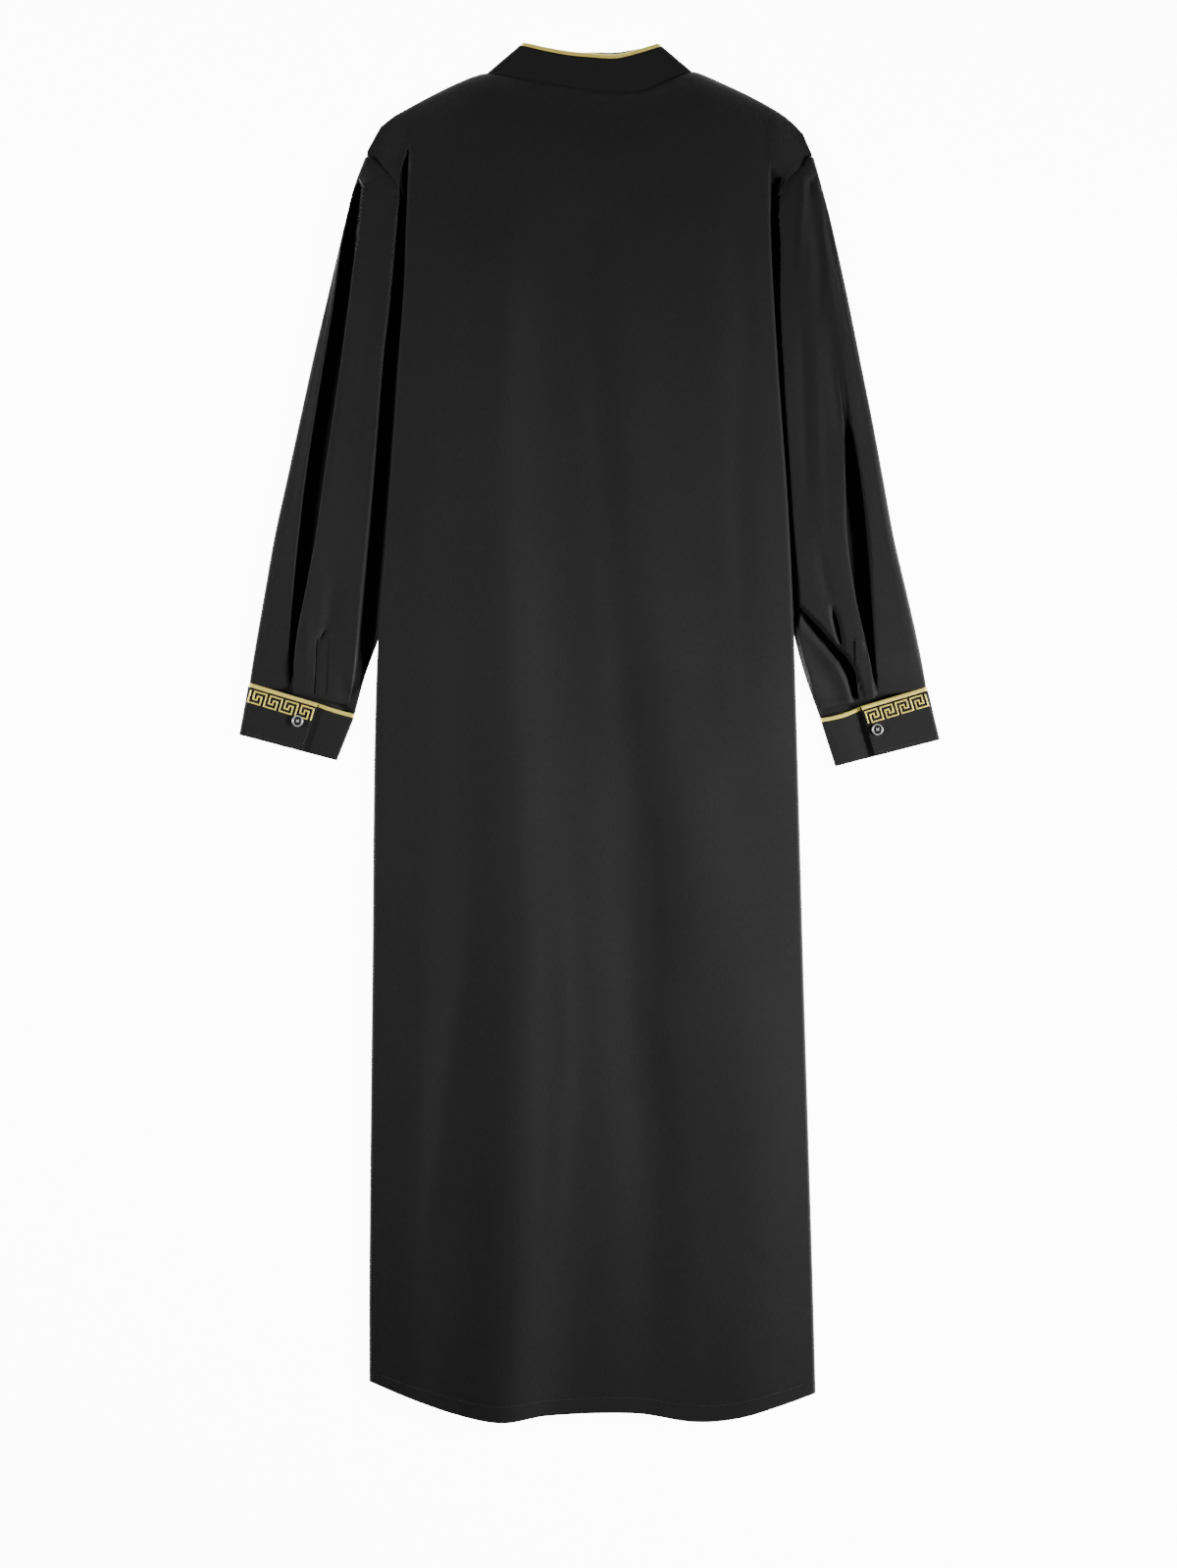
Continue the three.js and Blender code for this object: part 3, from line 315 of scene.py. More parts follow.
# Creases given one by one: a line, a rise (negative sinks) and a half width; far is the half width on the
# line's right where that differs
CREASE = "line rise wide far"
SLEEVE_CREASES = {
    "left": table(CREASE, [
        ([(-276, 96), (-277.5, 65), (-279, 36)], -1.6, 1.5),
        ([(-277, 89), (-272, 97), (-268, 104)], -2.6, 2.2),
        ([(-272, 92), (-266, 112), (-262, 150)], -1.6, 6),
        ([(-290, 130), (-287, 90), (-289, 45)], 1.2, 6),
        ([(-262, 190), (-258, 130), (-262, 70)], -1.0, 9),
        ([(-246, 470), (-262, 380), (-270, 330)], -0.8, 7),
        ([(-252, 60), (-248, 40), (-250, 26)], -2.0, 8),
    ]),
    "right": table(CREASE, [
        ([(213, 127), (222, 118), (233, 107), (242, 96.5), (252, 85.5), (261, 76), (266.5, 67), (270.5, 59),
          (273.5, 51), (277, 38), (279.5, 24), (281, 12)], -17, 1.2, 9.6),
        ([(210, 112), (220, 92), (236, 66), (250, 42), (258, 20)], -2.2, 11),
        ([(247, 124), (251.5, 107), (256.5, 85)], -8, 2.8),
        ([(224, 560), (228, 540), (232, 505), (235, 470), (233, 425)], -2.0, 6),
        ([(218, 572), (217, 545), (215, 515), (214, 470)], 1.5, 3.2),
        ([(236, 540), (243, 508), (251, 470)], -1.2, 5),
        ([(215, 420), (217, 380), (219, 300), (222, 220)], -0.8, 5),
        ([(228, 420), (230, 370), (233, 290), (237, 200)], 0.8, 6),
        ([(245, 420), (248, 370), (252, 330), (257, 296)], -1.6, 7),
        ([(232, 190), (240, 150), (246, 128)], -1.0, 6),
    ]),
}
# Creases that run into the seam over the sleeve's cap
CAP_CREASES = {
    "left": [],
    "right": table(CREASE, [
        ([(218.6, 586), (220.4, 575), (223, 566), (225.2, 556), (226, 544)], -3.4, 1.7)]),
}
BACK_CREASES = table(CREASE, [
    ([(-110, 600), (-104, 460), (-112, 300), (-118, 60)], -1.6, 16),
    ([(-8, 620), (4, 420), (22, 180), (46, -40), (74, -240)], -1.8, 18),
    ([(150, 560), (160, 400), (152, 240), (160, 60)], -1.4, 14),
    ([(30, 40), (40, -120), (48, -280), (60, -440), (62, -680)], -4.6, 31),
    ([(214, 60), (220, -160), (222, -400), (222, -680)], 3.4, 62),
    ([(-120, -180), (-150, -380), (-176, -600)], -1.6, 16),
    ([(-205, -548), (-180, -556), (-150, -566)], -0.7, 5),
    ([(150, -520), (176, -548), (206, -560)], -0.7, 6),
    ([(-150, 552), (-120, 500), (-104, 430)], -0.8, 9),
    ([(-30, -120), (-24, -320), (-34, -520)], 1.0, 12),
])
COLLAR_CREASES = table(CREASE, [
    ([(-62, 690), (-50, 678), (-40, 668)], -0.5, 2.5),
    ([(-78, 688), (-62, 672), (-56, 664)], 0.4, 3),
    ([(60, 690), (66, 678), (70, 664)], -0.4, 3),
    ([(-4, 688), (0, 672), (4, 656)], -0.3, 5),
])


# Arithmetic on tables and curves
def lerp(a, b, t):
    return a + (b - a) * t


def ease(value):
    t = np.clip(value, 0.0, 1.0)
    return t * t * (3 - 2 * t)


def bent(a, b, slope_a, slope_b, t):
    """The way from a to b that leaves and arrives with the given slopes."""
    rise = b - a
    square = 3 * rise - 2 * slope_a - slope_b
    cube = slope_a + slope_b - 2 * rise
    return a + t * slope_a + t**2 * square + t**3 * cube


def column(rows, key, name):
    """A smooth curve through one column of a table, read at values of its key column."""
    picked = sorted((row[key], row[name]) for row in rows if row[name] is not None)
    keys = np.array([pair[0] for pair in picked], float)
    values = np.array([pair[1] for pair in picked], float)
    slopes = np.empty_like(values)
    slopes[1:-1] = (values[2:] - values[:-2]) / (keys[2:] - keys[:-2])
    slopes[0] = (values[1] - values[0]) / (keys[1] - keys[0])
    slopes[-1] = (values[-1] - values[-2]) / (keys[-1] - keys[-2])

    def read(at):
        at = np.asarray(at, float)
        i = np.clip(np.searchsorted(keys, at) - 1, 0, len(keys) - 2)
        span = keys[i + 1] - keys[i]
        t = np.clip((at - keys[i]) / span, 0, 1)
        return bent(values[i], values[i + 1], slopes[i] * span, slopes[i + 1] * span, t)

    return read


def even_curve(known, values, wanted):
    """A curve through values that never overshoots them, read at the wanted places. Knots and values
    come in one column for every place, or in a column of their own for each, then level at both ends."""
    shared = np.ndim(known) == 1
    if shared:
        known = np.repeat(np.array(known, float)[:, None], len(wanted), 1)
        values = np.repeat(np.array(values, float)[:, None], len(wanted), 1)
    gaps = np.maximum(np.diff(known, axis=0), 1e-3)
    rates = np.diff(values, axis=0) / gaps
    same = rates[:-1] * rates[1:] > 0
    weight_a = 2 * gaps[1:] + gaps[:-1]
    weight_b = gaps[1:] + 2 * gaps[:-1]
    with np.errstate(divide="ignore", invalid="ignore"):
        mean = (weight_a + weight_b) / (weight_a / rates[:-1] + weight_b / rates[1:])
    first, last = (rates[:1], rates[-1:]) if shared else (0 * rates[:1], 0 * rates[:1])
    slopes = np.concatenate([first, np.where(same, mean, 0), last])
    i = np.clip((known < wanted).sum(axis=0) - 1, 0, len(known) - 2)
    k = np.arange(len(wanted))
    span = gaps[i, k]
    t = np.clip((wanted - known[i, k]) / span, 0, 1)
    return bent(values[i, k], values[i + 1, k], slopes[i, k] * span, slopes[i + 1, k] * span, t)


def line_distance(x, y, line):
    """Distance of each point from a bent line, how far along it is, 0 to 1, and if it lies to its right."""
    best = np.full(np.shape(x), np.inf)
    along = np.zeros(np.shape(x))
    beyond = np.zeros(np.shape(x), bool)
    line = np.array(line, float)
    pieces = len(line) - 1
    for k in range(pieces):
        start = line[k]
        way = line[k + 1] - start
        t = np.clip(((x - start[0]) * way[0] + (y - start[1]) * way[1]) / way.dot(way), 0, 1)
        away = np.hypot(x - start[0] - t * way[0], y - start[1] - t * way[1])
        nearer = away < best
        best = np.where(nearer, away, best)
        along = np.where(nearer, (k + t) / pieces, along)
        beyond = np.where(nearer, way[0] * (y - start[1]) < way[1] * (x - start[0]), beyond)
    return best, along, beyond


def creased(x, y, creases):
    """Height that the listed creases add at each point; each fades towards its ends."""
    total = np.zeros(np.shape(x))
    for crease in creases:
        away, along, beyond = line_distance(x, y, crease["line"])
        fade = np.sin(np.pi * np.clip(along, 0.06, 0.94)) ** 0.7
        spread = away / crease["wide"]
        if "far" in crease:
            spread = np.where(beyond, (away / crease["far"]) ** 1.7, spread)
        total += crease["rise"] * np.exp(-(spread**2)) * fade
    return total


def ripple(x, y, seed, size):
    """A slow uneven swell of the cloth, about 1 high, with features of the given size."""
    rng = np.random.default_rng(seed)
    total = np.zeros(np.shape(x))
    for _ in range(9):
        angle = rng.uniform(0, math.tau)
        length = size * rng.uniform(0.7, 1.8)
        phase = rng.uniform(0, math.tau)
        total += np.sin((x * math.cos(angle) + 0.45 * y * math.sin(angle)) * math.tau / length + phase)
    return total / 4


# The body's outline as functions of place
fold = {"left": column(SIDES, "y", "left"), "right": column(SIDES, "y", "right")}
tuck = column(SIDES, "y", "under")
wedge_edge = {"left": column(WEDGE, "y", "left"), "right": column(WEDGE, "y", "right")}
armhole = {"left": column(ARMHOLE, "y", "left"), "right": column(ARMHOLE, "y", "right")}
hem_line = column(HEM, "x", "y")
shoulder_line = column(SHOULDERS, "x", "y")
ridge_at = {name: column(BACK_RIDGES, "y", name) for name in "abc"}
INWARD = {"left": 1, "right": -1}
WEDGE_TIP = {"left": 595, "right": 574}
FOLD_TOP = 594
FRONT_SHY = {"by": 6, "level": 537, "wide": 14}


def side_lift(y):
    return LIFT * ease((y - 35) / 65)


def armhole_seam(side, y):
    """Seam line of panel and sleeve, beside the side fold above and under it below."""
    y = np.asarray(y, float)
    shows = armhole[side](np.clip(y, ARMHOLE_SHOWS, SHOULDER_END))
    hidden = fold[side](y) + INWARD[side] * tuck(y)
    return np.where(y >= ARMHOLE_SHOWS, shows, hidden)


def armhole_low(y):
    """Height of the armhole seam: low beside the side fold, and up on the sleeve's cap above it."""
    up = lerp(SLEEVE_TOP, APRON, ease((y - 538) / 10))
    return lerp(up, SHOULDER_BACK, ease((y - 564) / 22))


def front_edge(x):
    share = np.minimum(np.abs(x) / NECK_HALF, 1)
    end = shoulder_line(np.sign(x) * NECK_HALF)
    dip = lerp(NECK_FRONT_Y, end, share**NECK_POWER)
    return np.where(np.abs(x) >= NECK_HALF, shoulder_line(x), dip)


def part_from_edge(distance):
    near = 1 - np.clip(distance / SHOULDER_ROUND, 0, 1)
    return np.sqrt(np.maximum(1 - near**2, 0))


def seam_height(x, neck_z, shoulder_z, start, over):
    return lerp(neck_z, shoulder_z, ease((np.abs(x) - start) / over))


def back_height(x, y, edge_share):
    """Height of the back between its side folds."""
    lift = side_lift(y)
    height = lerp(lift + FLOOR + 2 * BACK_FOLD, HOLLOW + 0.6 * lift, edge_share)
    for form in RIDGE_FORM:
        away = (x - ridge_at[form["line"]](y)) / form["wide"]
        fade = 1 - ease((y - form["top"] + 130) / 130)
        height = height + form["rise"] * np.exp(-(away**2)) * fade * edge_share
    swell = creased(x, y, BACK_CREASES) + 0.5 * ripple(x, y, 4, 190) + 0.14 * ripple(x, y, 9, 55)
    return height + swell * edge_share


# Turn of a panel at its side, as inward offsets and heights from the fold outward and under
TURN_POINTS = 14
RUN_POINTS = 7


def tail(start, end, share):
    """Even steps towards a seam, the last one only as long as the curl into it."""
    near = end - math.copysign(min(SEAM_CURL, abs(end - start) / 8), end - start)
    return np.append(lerp(start, near, share), end)


def wedge_turn(side, level, radius, nest, run, top_z, row_y):
    """Panel from its side fold into the dark wedge beside it, up again and out to the armhole seam."""
    sign = INWARD[side]
    fold_x = float(fold[side](min(level, FOLD_TOP)))
    edge_x = fold_x
    for _ in range(6):
        edge_x = float(wedge_edge[side](float(row_y(edge_x))))
    fold_y = float(row_y(fold_x))
    wide = (fold_x - edge_x) * sign
    deep = float(ease((wide - 0.4) / 2.6)) * float(ease((WEDGE_TIP[side] - fold_y) / 8))
    out = -run
    wide = max(min(wide, out - 1.0), 2.4)
    lower = 1.4 if nest > 0 else 0.0
    seam_z = float(armhole_low(level)) - lower
    shelf = lerp(seam_z, 9.4 - lower, float(ease((out - wide) / 10)))
    foot = WEDGE_FOOT - lower
    quarter = np.linspace(0, math.pi / 2, 6)
    shoulder_x = radius * (1 - np.sin(quarter))
    shoulder_z = top_z - radius + radius * np.cos(quarter)
    wall = np.linspace(0, 1, 5)[1:]
    base = np.linspace(0, 1, 4)[1:]
    rise = np.linspace(0, 1, 5)[1:]
    reach = np.linspace(0, 1, 4)[1:]
    x = np.concatenate([
        shoulder_x, -0.9 * wall, lerp(-0.9, -(wide - 0.9), base),
        lerp(-(wide - 0.9), -(wide + 0.7), rise), tail(-(wide + 0.7), -max(out, wide + 1.2), reach)])
    z = np.concatenate([
        shoulder_z, lerp(shoulder_z[-1], foot, ease(wall)), np.full(3, foot),
        lerp(foot, shelf, ease(rise)), lerp(shelf, seam_z, ease(np.append(reach, 1)))])
    plain = lerp(top_z, seam_z, ease((radius - x) / (radius + max(out, wide + 1.2))) ** 1.3)
    z = lerp(plain, z, deep)
    z[-1] -= 0 if nest > 0 else SEAM_CURL
    return x, z


def side_turn(side, y, radius, nest, seam_x, top_z, row_y):
    """Panel from its side fold round to its seam; the front, nested inside, keeps shy of the armhole."""
    sign = INWARD[side]
    shy = FRONT_SHY["by"] * math.exp(-(((y - FRONT_SHY["level"]) / FRONT_SHY["wide"]) ** 2)) * (nest > 0)
    fold_x = float(fold[side](min(y, FOLD_TOP))) + sign * (nest + shy)
    seam_x = seam_x + (sign * shy if y > ARMHOLE_SHOWS - 15 else 0)
    run = (seam_x - fold_x) * sign
    low_z = top_z - 2 * radius
    t = np.linspace(0, 1, TURN_POINTS)
    s = np.linspace(0, 1, RUN_POINTS)[1:]
    # Folded right under
    angle = np.pi * t
    under_x = np.concatenate([radius * (1 - np.sin(angle)), tail(radius, run, s)])
    under_z = np.concatenate([top_z - radius + radius * np.cos(angle), np.full(RUN_POINTS, low_z)])
    # Hanging straight down
    half = np.pi * np.minimum(t, 0.5)
    down_x = np.concatenate([radius * (1 - np.sin(half)), tail(0, run, s)])
    drop = lerp(top_z - radius, low_z + 0.6, np.clip(2 * t - 1, 0, 1) * 0.8)
    down_z = np.concatenate([np.where(t < 0.5, top_z - radius + radius * np.cos(half), drop),
                             lerp(drop[-1], low_z, np.append(s, 1))])
    # Stepping down into the dark wedge, up again and out to the armhole seam
    out_x, out_z = wedge_turn(side, y, radius, nest, run, top_z, row_y)
    to_down = float(ease((y - 512) / 18))
    to_out = float(ease((y - 526) / 16))
    offset = lerp(lerp(under_x, down_x, to_down), out_x, to_out)
    z = lerp(lerp(under_z, down_z, to_down), out_z, to_out)
    return fold_x + sign * offset, z


def panel_rows(top_edge, straight, bent):
    """Rows of a panel as (level, part, y function): bent at the hem and up to the shoulders."""
    rows = []
    for part in np.concatenate([[0, 0.04, 0.09, 0.125, 0.145, 0.17], np.linspace(0.22, 1, 15)]):
        rows.append((lerp(-680, HEM_TOP, part), 0.0, lambda x, p=part: lerp(hem_line(x), HEM_TOP, p)))
    for level in np.linspace(HEM_TOP, ARMHOLE_SHOWS, straight)[1:]:
        rows.append((level, 0.0, lambda x, v=level: np.full(np.shape(x), v)))
    for part in np.linspace(0, 1, bent + 1)[1:]:
        part = math.sin(part * math.pi / 2)
        level = lerp(ARMHOLE_SHOWS, SHOULDER_END, part)
        rows.append((level, part, lambda x, p=part: lerp(ARMHOLE_SHOWS, top_edge(x), p)))
    return rows


def top_x(x, ends, part):
    share = (x - ends["left"]) / (ends["right"] - ends["left"])
    reach = HALF_SHOULDERS
    return lerp(-reach, reach, share) if part > 0 else x


def row_ends(level):
    return {side: float(armhole_seam(side, level)) + INWARD[side] * 0.05 for side in INWARD}


def back_grid():
    """Middle points of the back panel, row by row from the hem to the shoulders."""
    inner = 110
    grid = []
    for level, part, row_y in panel_rows(shoulder_line, 170, 22):
        ends = row_ends(level)
        edge_z = float(side_lift(level)) + FLOOR + 2 * BACK_FOLD

        def row_at(at, ends=ends, part=part, row_y=row_y):
            return row_y(top_x(at, ends, part))

        left_x, left_z = side_turn("left", level, BACK_FOLD, 0, ends["left"], edge_z, row_at)
        right_x, right_z = side_turn("right", level, BACK_FOLD, 0, ends["right"], edge_z, row_at)
        k = np.arange(1, inner)
        mid_x = lerp(left_x[0], right_x[0], k / inner)
        starts_right = lerp(*HOLLOW_STARTS_RIGHT, ease((10 - level) / 140))
        near = np.minimum(k / HOLLOW_STARTS_LEFT, (inner - k) / starts_right) / inner
        edge_share = 1 - (1 - near).clip(0) ** 2
        x = np.concatenate([left_x[::-1], mid_x, right_x])
        place = top_x(x, ends, part)
        y = row_y(place)
        middle = slice(len(left_x), len(left_x) + len(mid_x))
        z = np.concatenate([left_z[::-1], back_height(mid_x, y[middle], edge_share), right_z])
        if part > 0:
            away = shoulder_line(place) - y
            risen = part_from_edge(SLOPE * away)
            z = lerp(seam_height(x, NECK_BACK_Z, SHOULDER_BACK, NECK_HALF - 55, 55), z, risen)
            under = ease((NECK_HALF + 4 - np.abs(place)) / 6) * (1 - ease((away + 1.5) / 3.5))
            z = z - 2.2 * under
            y = y + 3.0 * under
        grid.append(np.stack([x, y, z], axis=1))
    return np.array(grid)


def front_grid():
    """Middle points of the front panel; its placket slot is the middle column of cells."""
    slot = 15.3
    falls = np.linspace(0.1, 2, 14)
    flats = 10
    slot_foot = 265.4
    grid = []
    levels = []
    for level, part, row_y in panel_rows(front_edge, 80, 14):
        ends = row_ends(level)
        edge_z = float(side_lift(level)) + FLOOR + 2 * BACK_FOLD - NEST
        reach = max(float(tuck(level)), 0) + 6
        slot_z = lerp(FLOOR, 3.2, float(ease((level - slot_foot + 70) / 70)))
        halves = []

        def row_at(at, ends=ends, part=part, row_y=row_y):
            return row_y(top_x(at, ends, part))

        for side, hand in (("left", -1), ("right", 1)):
            turn_x, turn_z = side_turn(side, level, FRONT_FOLD, NEST, ends[side], edge_z, row_at)
            start = turn_x[0]
            fall_x = start - hand * falls * reach
            fall_z = lerp(edge_z, FLOOR, ease(falls - 1))
            flat_x = lerp(start - 2 * hand * reach, hand * slot, np.arange(1, flats + 1) / flats)
            flat_z = np.full(flats, FLOOR)
            flat_z[-1] = slot_z
            flat_z[-2] = lerp(FLOOR, slot_z, 0.3)
            halves.append((np.concatenate([turn_x[::-1], fall_x, flat_x]),
                           np.concatenate([turn_z[::-1], fall_z, flat_z])))
        x = np.concatenate([halves[0][0], halves[1][0][::-1]])
        z = np.concatenate([halves[0][1], halves[1][1][::-1]])
        place = top_x(x, ends, part)
        y = row_y(place)
        if part > 0:
            risen = part_from_edge(SLOPE * (front_edge(place) - y))
            seam_z = seam_height(x, FLOOR + 0.5, SHOULDER_FRONT, NECK_HALF - 2, 16)
            z = lerp(np.where(np.abs(x) < slot + 1, FLOOR + 1.2, seam_z), z, risen)
        grid.append(np.stack([x, y, z], axis=1))
        levels.append(level)
    grid = np.array(grid)
    middle = grid.shape[1] // 2 - 1
    open_cells = {(i, middle) for i in range(len(levels)) if levels[i] >= slot_foot}
    return grid, open_cells


# Where a sleeve's rings lie between armhole and cuff, and how far the cloth runs under the piping
SLEEVE_STEPS = np.concatenate([
    [0, 0.0026], np.linspace(0.0055, 0.22, 70), np.linspace(0.2286, 0.72, 56), np.linspace(0.7248, 1, 60)])
UNDER_PIPING = 3.2
SLEEVE_COLUMNS = 132


def sleeve_grid(side):
    """Middle points of a sleeve: rings from the armhole to the cuff."""
    sign = -INWARD[side]
    lines = {name: column(SLEEVE_LINES[side], "y", name)
             for name in ("outer", "band", "ridge", "valley", "body", "inner")}
    depth = column(FOLD_DEPTH[side], "y", "depth")
    inner_depth = column(INNER_DEPTH[side], "y", "depth")
    ends = SLEEVE_ENDS[side]
    profile = SLEEVE_PROFILE[side]
    knots = np.array([row["across"] for row in profile])
    fine = np.linspace(knots[0], knots[-1], SLEEVE_COLUMNS)
    arc = np.linspace(0, 1, 9)
    lower = np.linspace(0.9, 0.1, 17)
    rings = []

    def sleeve_height(x, y, near_cuff):
        """Height of the sleeve's upper cloth where its folds put it."""
        reach = []
        heights = []
        full = depth(y)
        inner_open = inner_depth(y)
        for k, row in enumerate(profile):
            reach.append(np.abs(lerp(lines[row["start"]](y), lines[row["end"]](y), row["share"])))
            height = lerp(row["smooth"], row["height"], full)
            if k >= len(profile) - len(INNER_ROLL):
                height = lerp(INNER_ROLL[k - len(profile)], height, inner_open)
            heights.append(lerp(height, row["cuff"], near_cuff))
        reach = np.minimum.accumulate(np.array(reach) - 0.02 * np.arange(len(reach))[:, None])
        return even_curve(-reach, np.array(heights), -np.abs(x))

    for step in SLEEVE_STEPS:
        outer_y = lerp(ends["top"], ends["outer"], step)
        inner_y = lerp(ends["armpit"], ends["inner"], step)
        near_cuff = float(ease((step - 0.92) / 0.08))
        into_seam = 1 - float(ease(step / 0.0024))
        under = SEAM_UNDER * into_seam

        def place(line_x, across):
            y = lerp(outer_y, inner_y, across)
            gone = min(max((step - 0.0026) / (0.03 + 0.32 * across), 0), 1)
            leave = lerp(gone, float(ease(gone)), 0.6) if across > 0 else 1.0 - into_seam
            x = lerp(float(armhole_seam(side, y)) - sign * under, line_x(y), leave)
            return float(x), float(y)

        outer = np.array(place(lines["outer"], 0))
        inner = np.array(place(lines["inner"], 1))
        way = inner - outer if step > 0.02 else np.array([-0.82 * sign, -0.57])
        way = way / np.linalg.norm(way)
        outer_radius = lerp(*OUTER_ROUND[side], float(depth(outer_y)))
        outer_radius = lerp(outer_radius, (CUFF_OVER - FLOOR) / 2, near_cuff)
        inner_radius = lerp(2.1, (SLEEVE_TOP - FLOOR) / 2, float(inner_depth(inner_y)))
        inner_radius = lerp(inner_radius, (CUFF_UNDER - FLOOR) / 2, near_cuff)
        turns = []
        for edge, radius, towards, angles in (
            (outer, outer_radius, 1, np.pi * arc),
            (inner, inner_radius, -1, np.pi * (1 - arc)),
        ):
            flat = edge + (towards * radius * (1 - np.abs(np.sin(angles))))[:, None] * way
            turns.append(np.column_stack([flat, FLOOR + radius - radius * np.cos(angles)]))
        spots = []
        for row in profile:
            def line_x(y, row=row):
                return lerp(lines[row["start"]](y), lines[row["end"]](y), row["share"])
            spots.append(place(line_x, row["across"]))
        spots = np.array(spots)
        x, y = (even_curve(knots, spots[:, k], fine) for k in range(2))
        z = sleeve_height(x, y, near_cuff)
        z = z + creased(x, y, SLEEVE_CREASES[side]) + 0.3 * ripple(x, y, 21, 70) * ease((560 - y) / 60)
        z = np.maximum(z, VALLEY_FLOOR)
        low = armhole_low(y)
        from_seam = np.abs(x) - np.abs(armhole_seam(side, y))
        shown = ease((y - ARMHOLE_SHOWS + 6) / 8)
        z = lerp(z, lerp(low, z, ease(from_seam / lerp(8, 2, ease((y - 566) / 14)))), shown)
        z = np.maximum(z + creased(x, y, CAP_CREASES[side]) * ease((from_seam - 0.4) / 1.2), VALLEY_FLOOR)
        under_body = 1 - ease((np.abs(x) - np.abs(fold[side](y)) - 0.5) / 3)
        z = lerp(z, SLEEVE_TOP, under_body * (1 - shown) * (1 - near_cuff))
        z = z - SEAM_DEEP * into_seam * ease((y - ARMHOLE_SHOWS) / 6)
        below = []
        for across in lower:
            def line_x(y, across=across):
                return lerp(lines["outer"](y), lines["inner"](min(y, 376)), across)
            below.append((*place(line_x, across), FLOOR))
        rings.append(np.concatenate([turns[0], np.column_stack([x, y, z]), turns[1], np.array(below)]))
    ahead = rings[-1] - rings[-2]
    last = rings[-1] + ahead * (UNDER_PIPING / np.linalg.norm(ahead, axis=1))[:, None]
    last[:, 2] = lerp(3.2, rings[-1][:, 2], 0.3)
    return np.array([*rings, last])


def cuff_point(cuff, across, down):
    """A place on a cuff laid flat; its upper edge sags a little beside the overlap."""
    top, bottom = (
        lerp(np.array(cuff[f"outer_{edge}"]), np.array(cuff[f"inner_{edge}"]), np.expand_dims(across, -1))
        for edge in ("top", "bottom"))
    sunk = np.clip((across - cuff["overlap"]) / (1 - cuff["overlap"]), 0, 1)
    top = top - np.expand_dims(cuff["sag"] * np.sin(np.pi * sunk), -1) * np.array([0, 1])
    return lerp(top, bottom, down)


def cuff_width(cuff):
    return math.dist(cuff["outer_top"], cuff["inner_top"])


def cuff_section(cuff, start):
    """A cuff's strip seen end on: from under the overlap, round below, and over to the overlap's end."""
    width = cuff_width(cuff)
    inner_radius = (CUFF_UNDER - CUFF_LOW) / 2
    outer_radius = (CUFF_OVER - CUFF_LOW) / 2
    arc = np.linspace(0, 1, 13)
    across = [np.linspace(start, 1 - inner_radius / width, 12)[:-1]]
    height = [CUFF_UNDER - 1.4 * np.exp(-(((across[0] - cuff["overlap"] - 0.05) / 0.09) ** 2))]
    angle = np.pi * arc
    across.append(1 - inner_radius * (1 - np.sin(angle)) / width)
    height.append(CUFF_LOW + inner_radius + inner_radius * np.cos(angle))
    across.append(np.linspace(1, 0, 14)[1:-1])
    height.append(np.full(12, CUFF_LOW))
    angle = np.pi * (1 - arc)
    across.append(outer_radius * (1 - np.sin(angle)) / width)
    height.append(CUFF_LOW + outer_radius + outer_radius * np.cos(angle))
    across.append(np.linspace(outer_radius / width, cuff["overlap"], 26)[1:])
    height.append(np.full(25, CUFF_OVER))
    return np.concatenate(across), np.concatenate(height)


def cuff_grid(cuff):
    across, height = cuff_section(cuff, cuff["underlap"])
    middle = (CUFF_LOW + CUFF_OVER) / 2
    rows = [np.column_stack([cuff_point(cuff, across, -0.026), lerp(middle, height, 0.5)])]
    for down in np.linspace(0, 1, 22):
        flat = cuff_point(cuff, across, down)
        rows.append(np.column_stack([flat, height]))
    return np.array(rows)


def collar_point(part, rise):
    """A point of the collar: part of the way round it, rise of the way from foot to upper edge."""
    part = np.asarray(part, float)
    turns = [np.clip((part - start) / TURN_PART, 0, 1) for start in COLLAR_TURNS]
    angle = np.pi * (turns[0] - turns[1])
    radius = (NECK_BACK_Z - NECK_FRONT_Z) / 2
    bulge = np.sin(angle) * radius * np.where(part < 0.5, -1, 1)
    foot_x = column(COLLAR, "part", "foot_x")(part)
    on_back = (part > COLLAR_TURNS[0] + TURN_PART / 2) & (part < COLLAR_TURNS[1] + TURN_PART / 2)
    foot_y = np.where(on_back, shoulder_line(foot_x), front_edge(foot_x)) + NECK_GAP
    x = lerp(foot_x, column(COLLAR, "part", "top_x")(part), rise) + bulge
    y = lerp(foot_y, column(COLLAR, "part", "top_y")(part), rise)
    z = NECK_FRONT_Z + radius * (1 - np.cos(angle))
    return np.stack([x, y, z], axis=-1)


def collar_parts():
    fine = [np.linspace(start, start + TURN_PART, 11) for start in COLLAR_TURNS]
    wide = np.linspace(0, 1, 101)
    for start in COLLAR_TURNS:
        wide = wide[(wide < start - 0.004) | (wide > start + TURN_PART + 0.004)]
    return np.sort(np.concatenate([wide, *fine]))


def collar_grid():
    rows = [collar_point(collar_parts(), rise) for rise in np.linspace(0, 1, 16)]
    grid = np.array(rows)
    shows = grid[..., 2] > 5
    grid[..., 2] += np.where(shows, creased(grid[..., 0], grid[..., 1], COLLAR_CREASES), 0)
    return grid


# Meshes from grids of points
def new_object(name, points, faces):
    """An object with the given points, in millimetres, and faces."""
    mesh = bpy.data.meshes.new(name)
    mesh.from_pydata([tuple(p) for p in np.asarray(points) * MM], [], faces)
    mesh.update()
    piece = bpy.data.objects.new(name, mesh)
    bpy.context.scene.collection.objects.link(piece)
    return piece


def only(piece):
    """Makes a piece the only selected and the active object."""
    bpy.ops.object.select_all(action="DESELECT")
    piece.select_set(True)
    bpy.context.view_layer.objects.active = piece


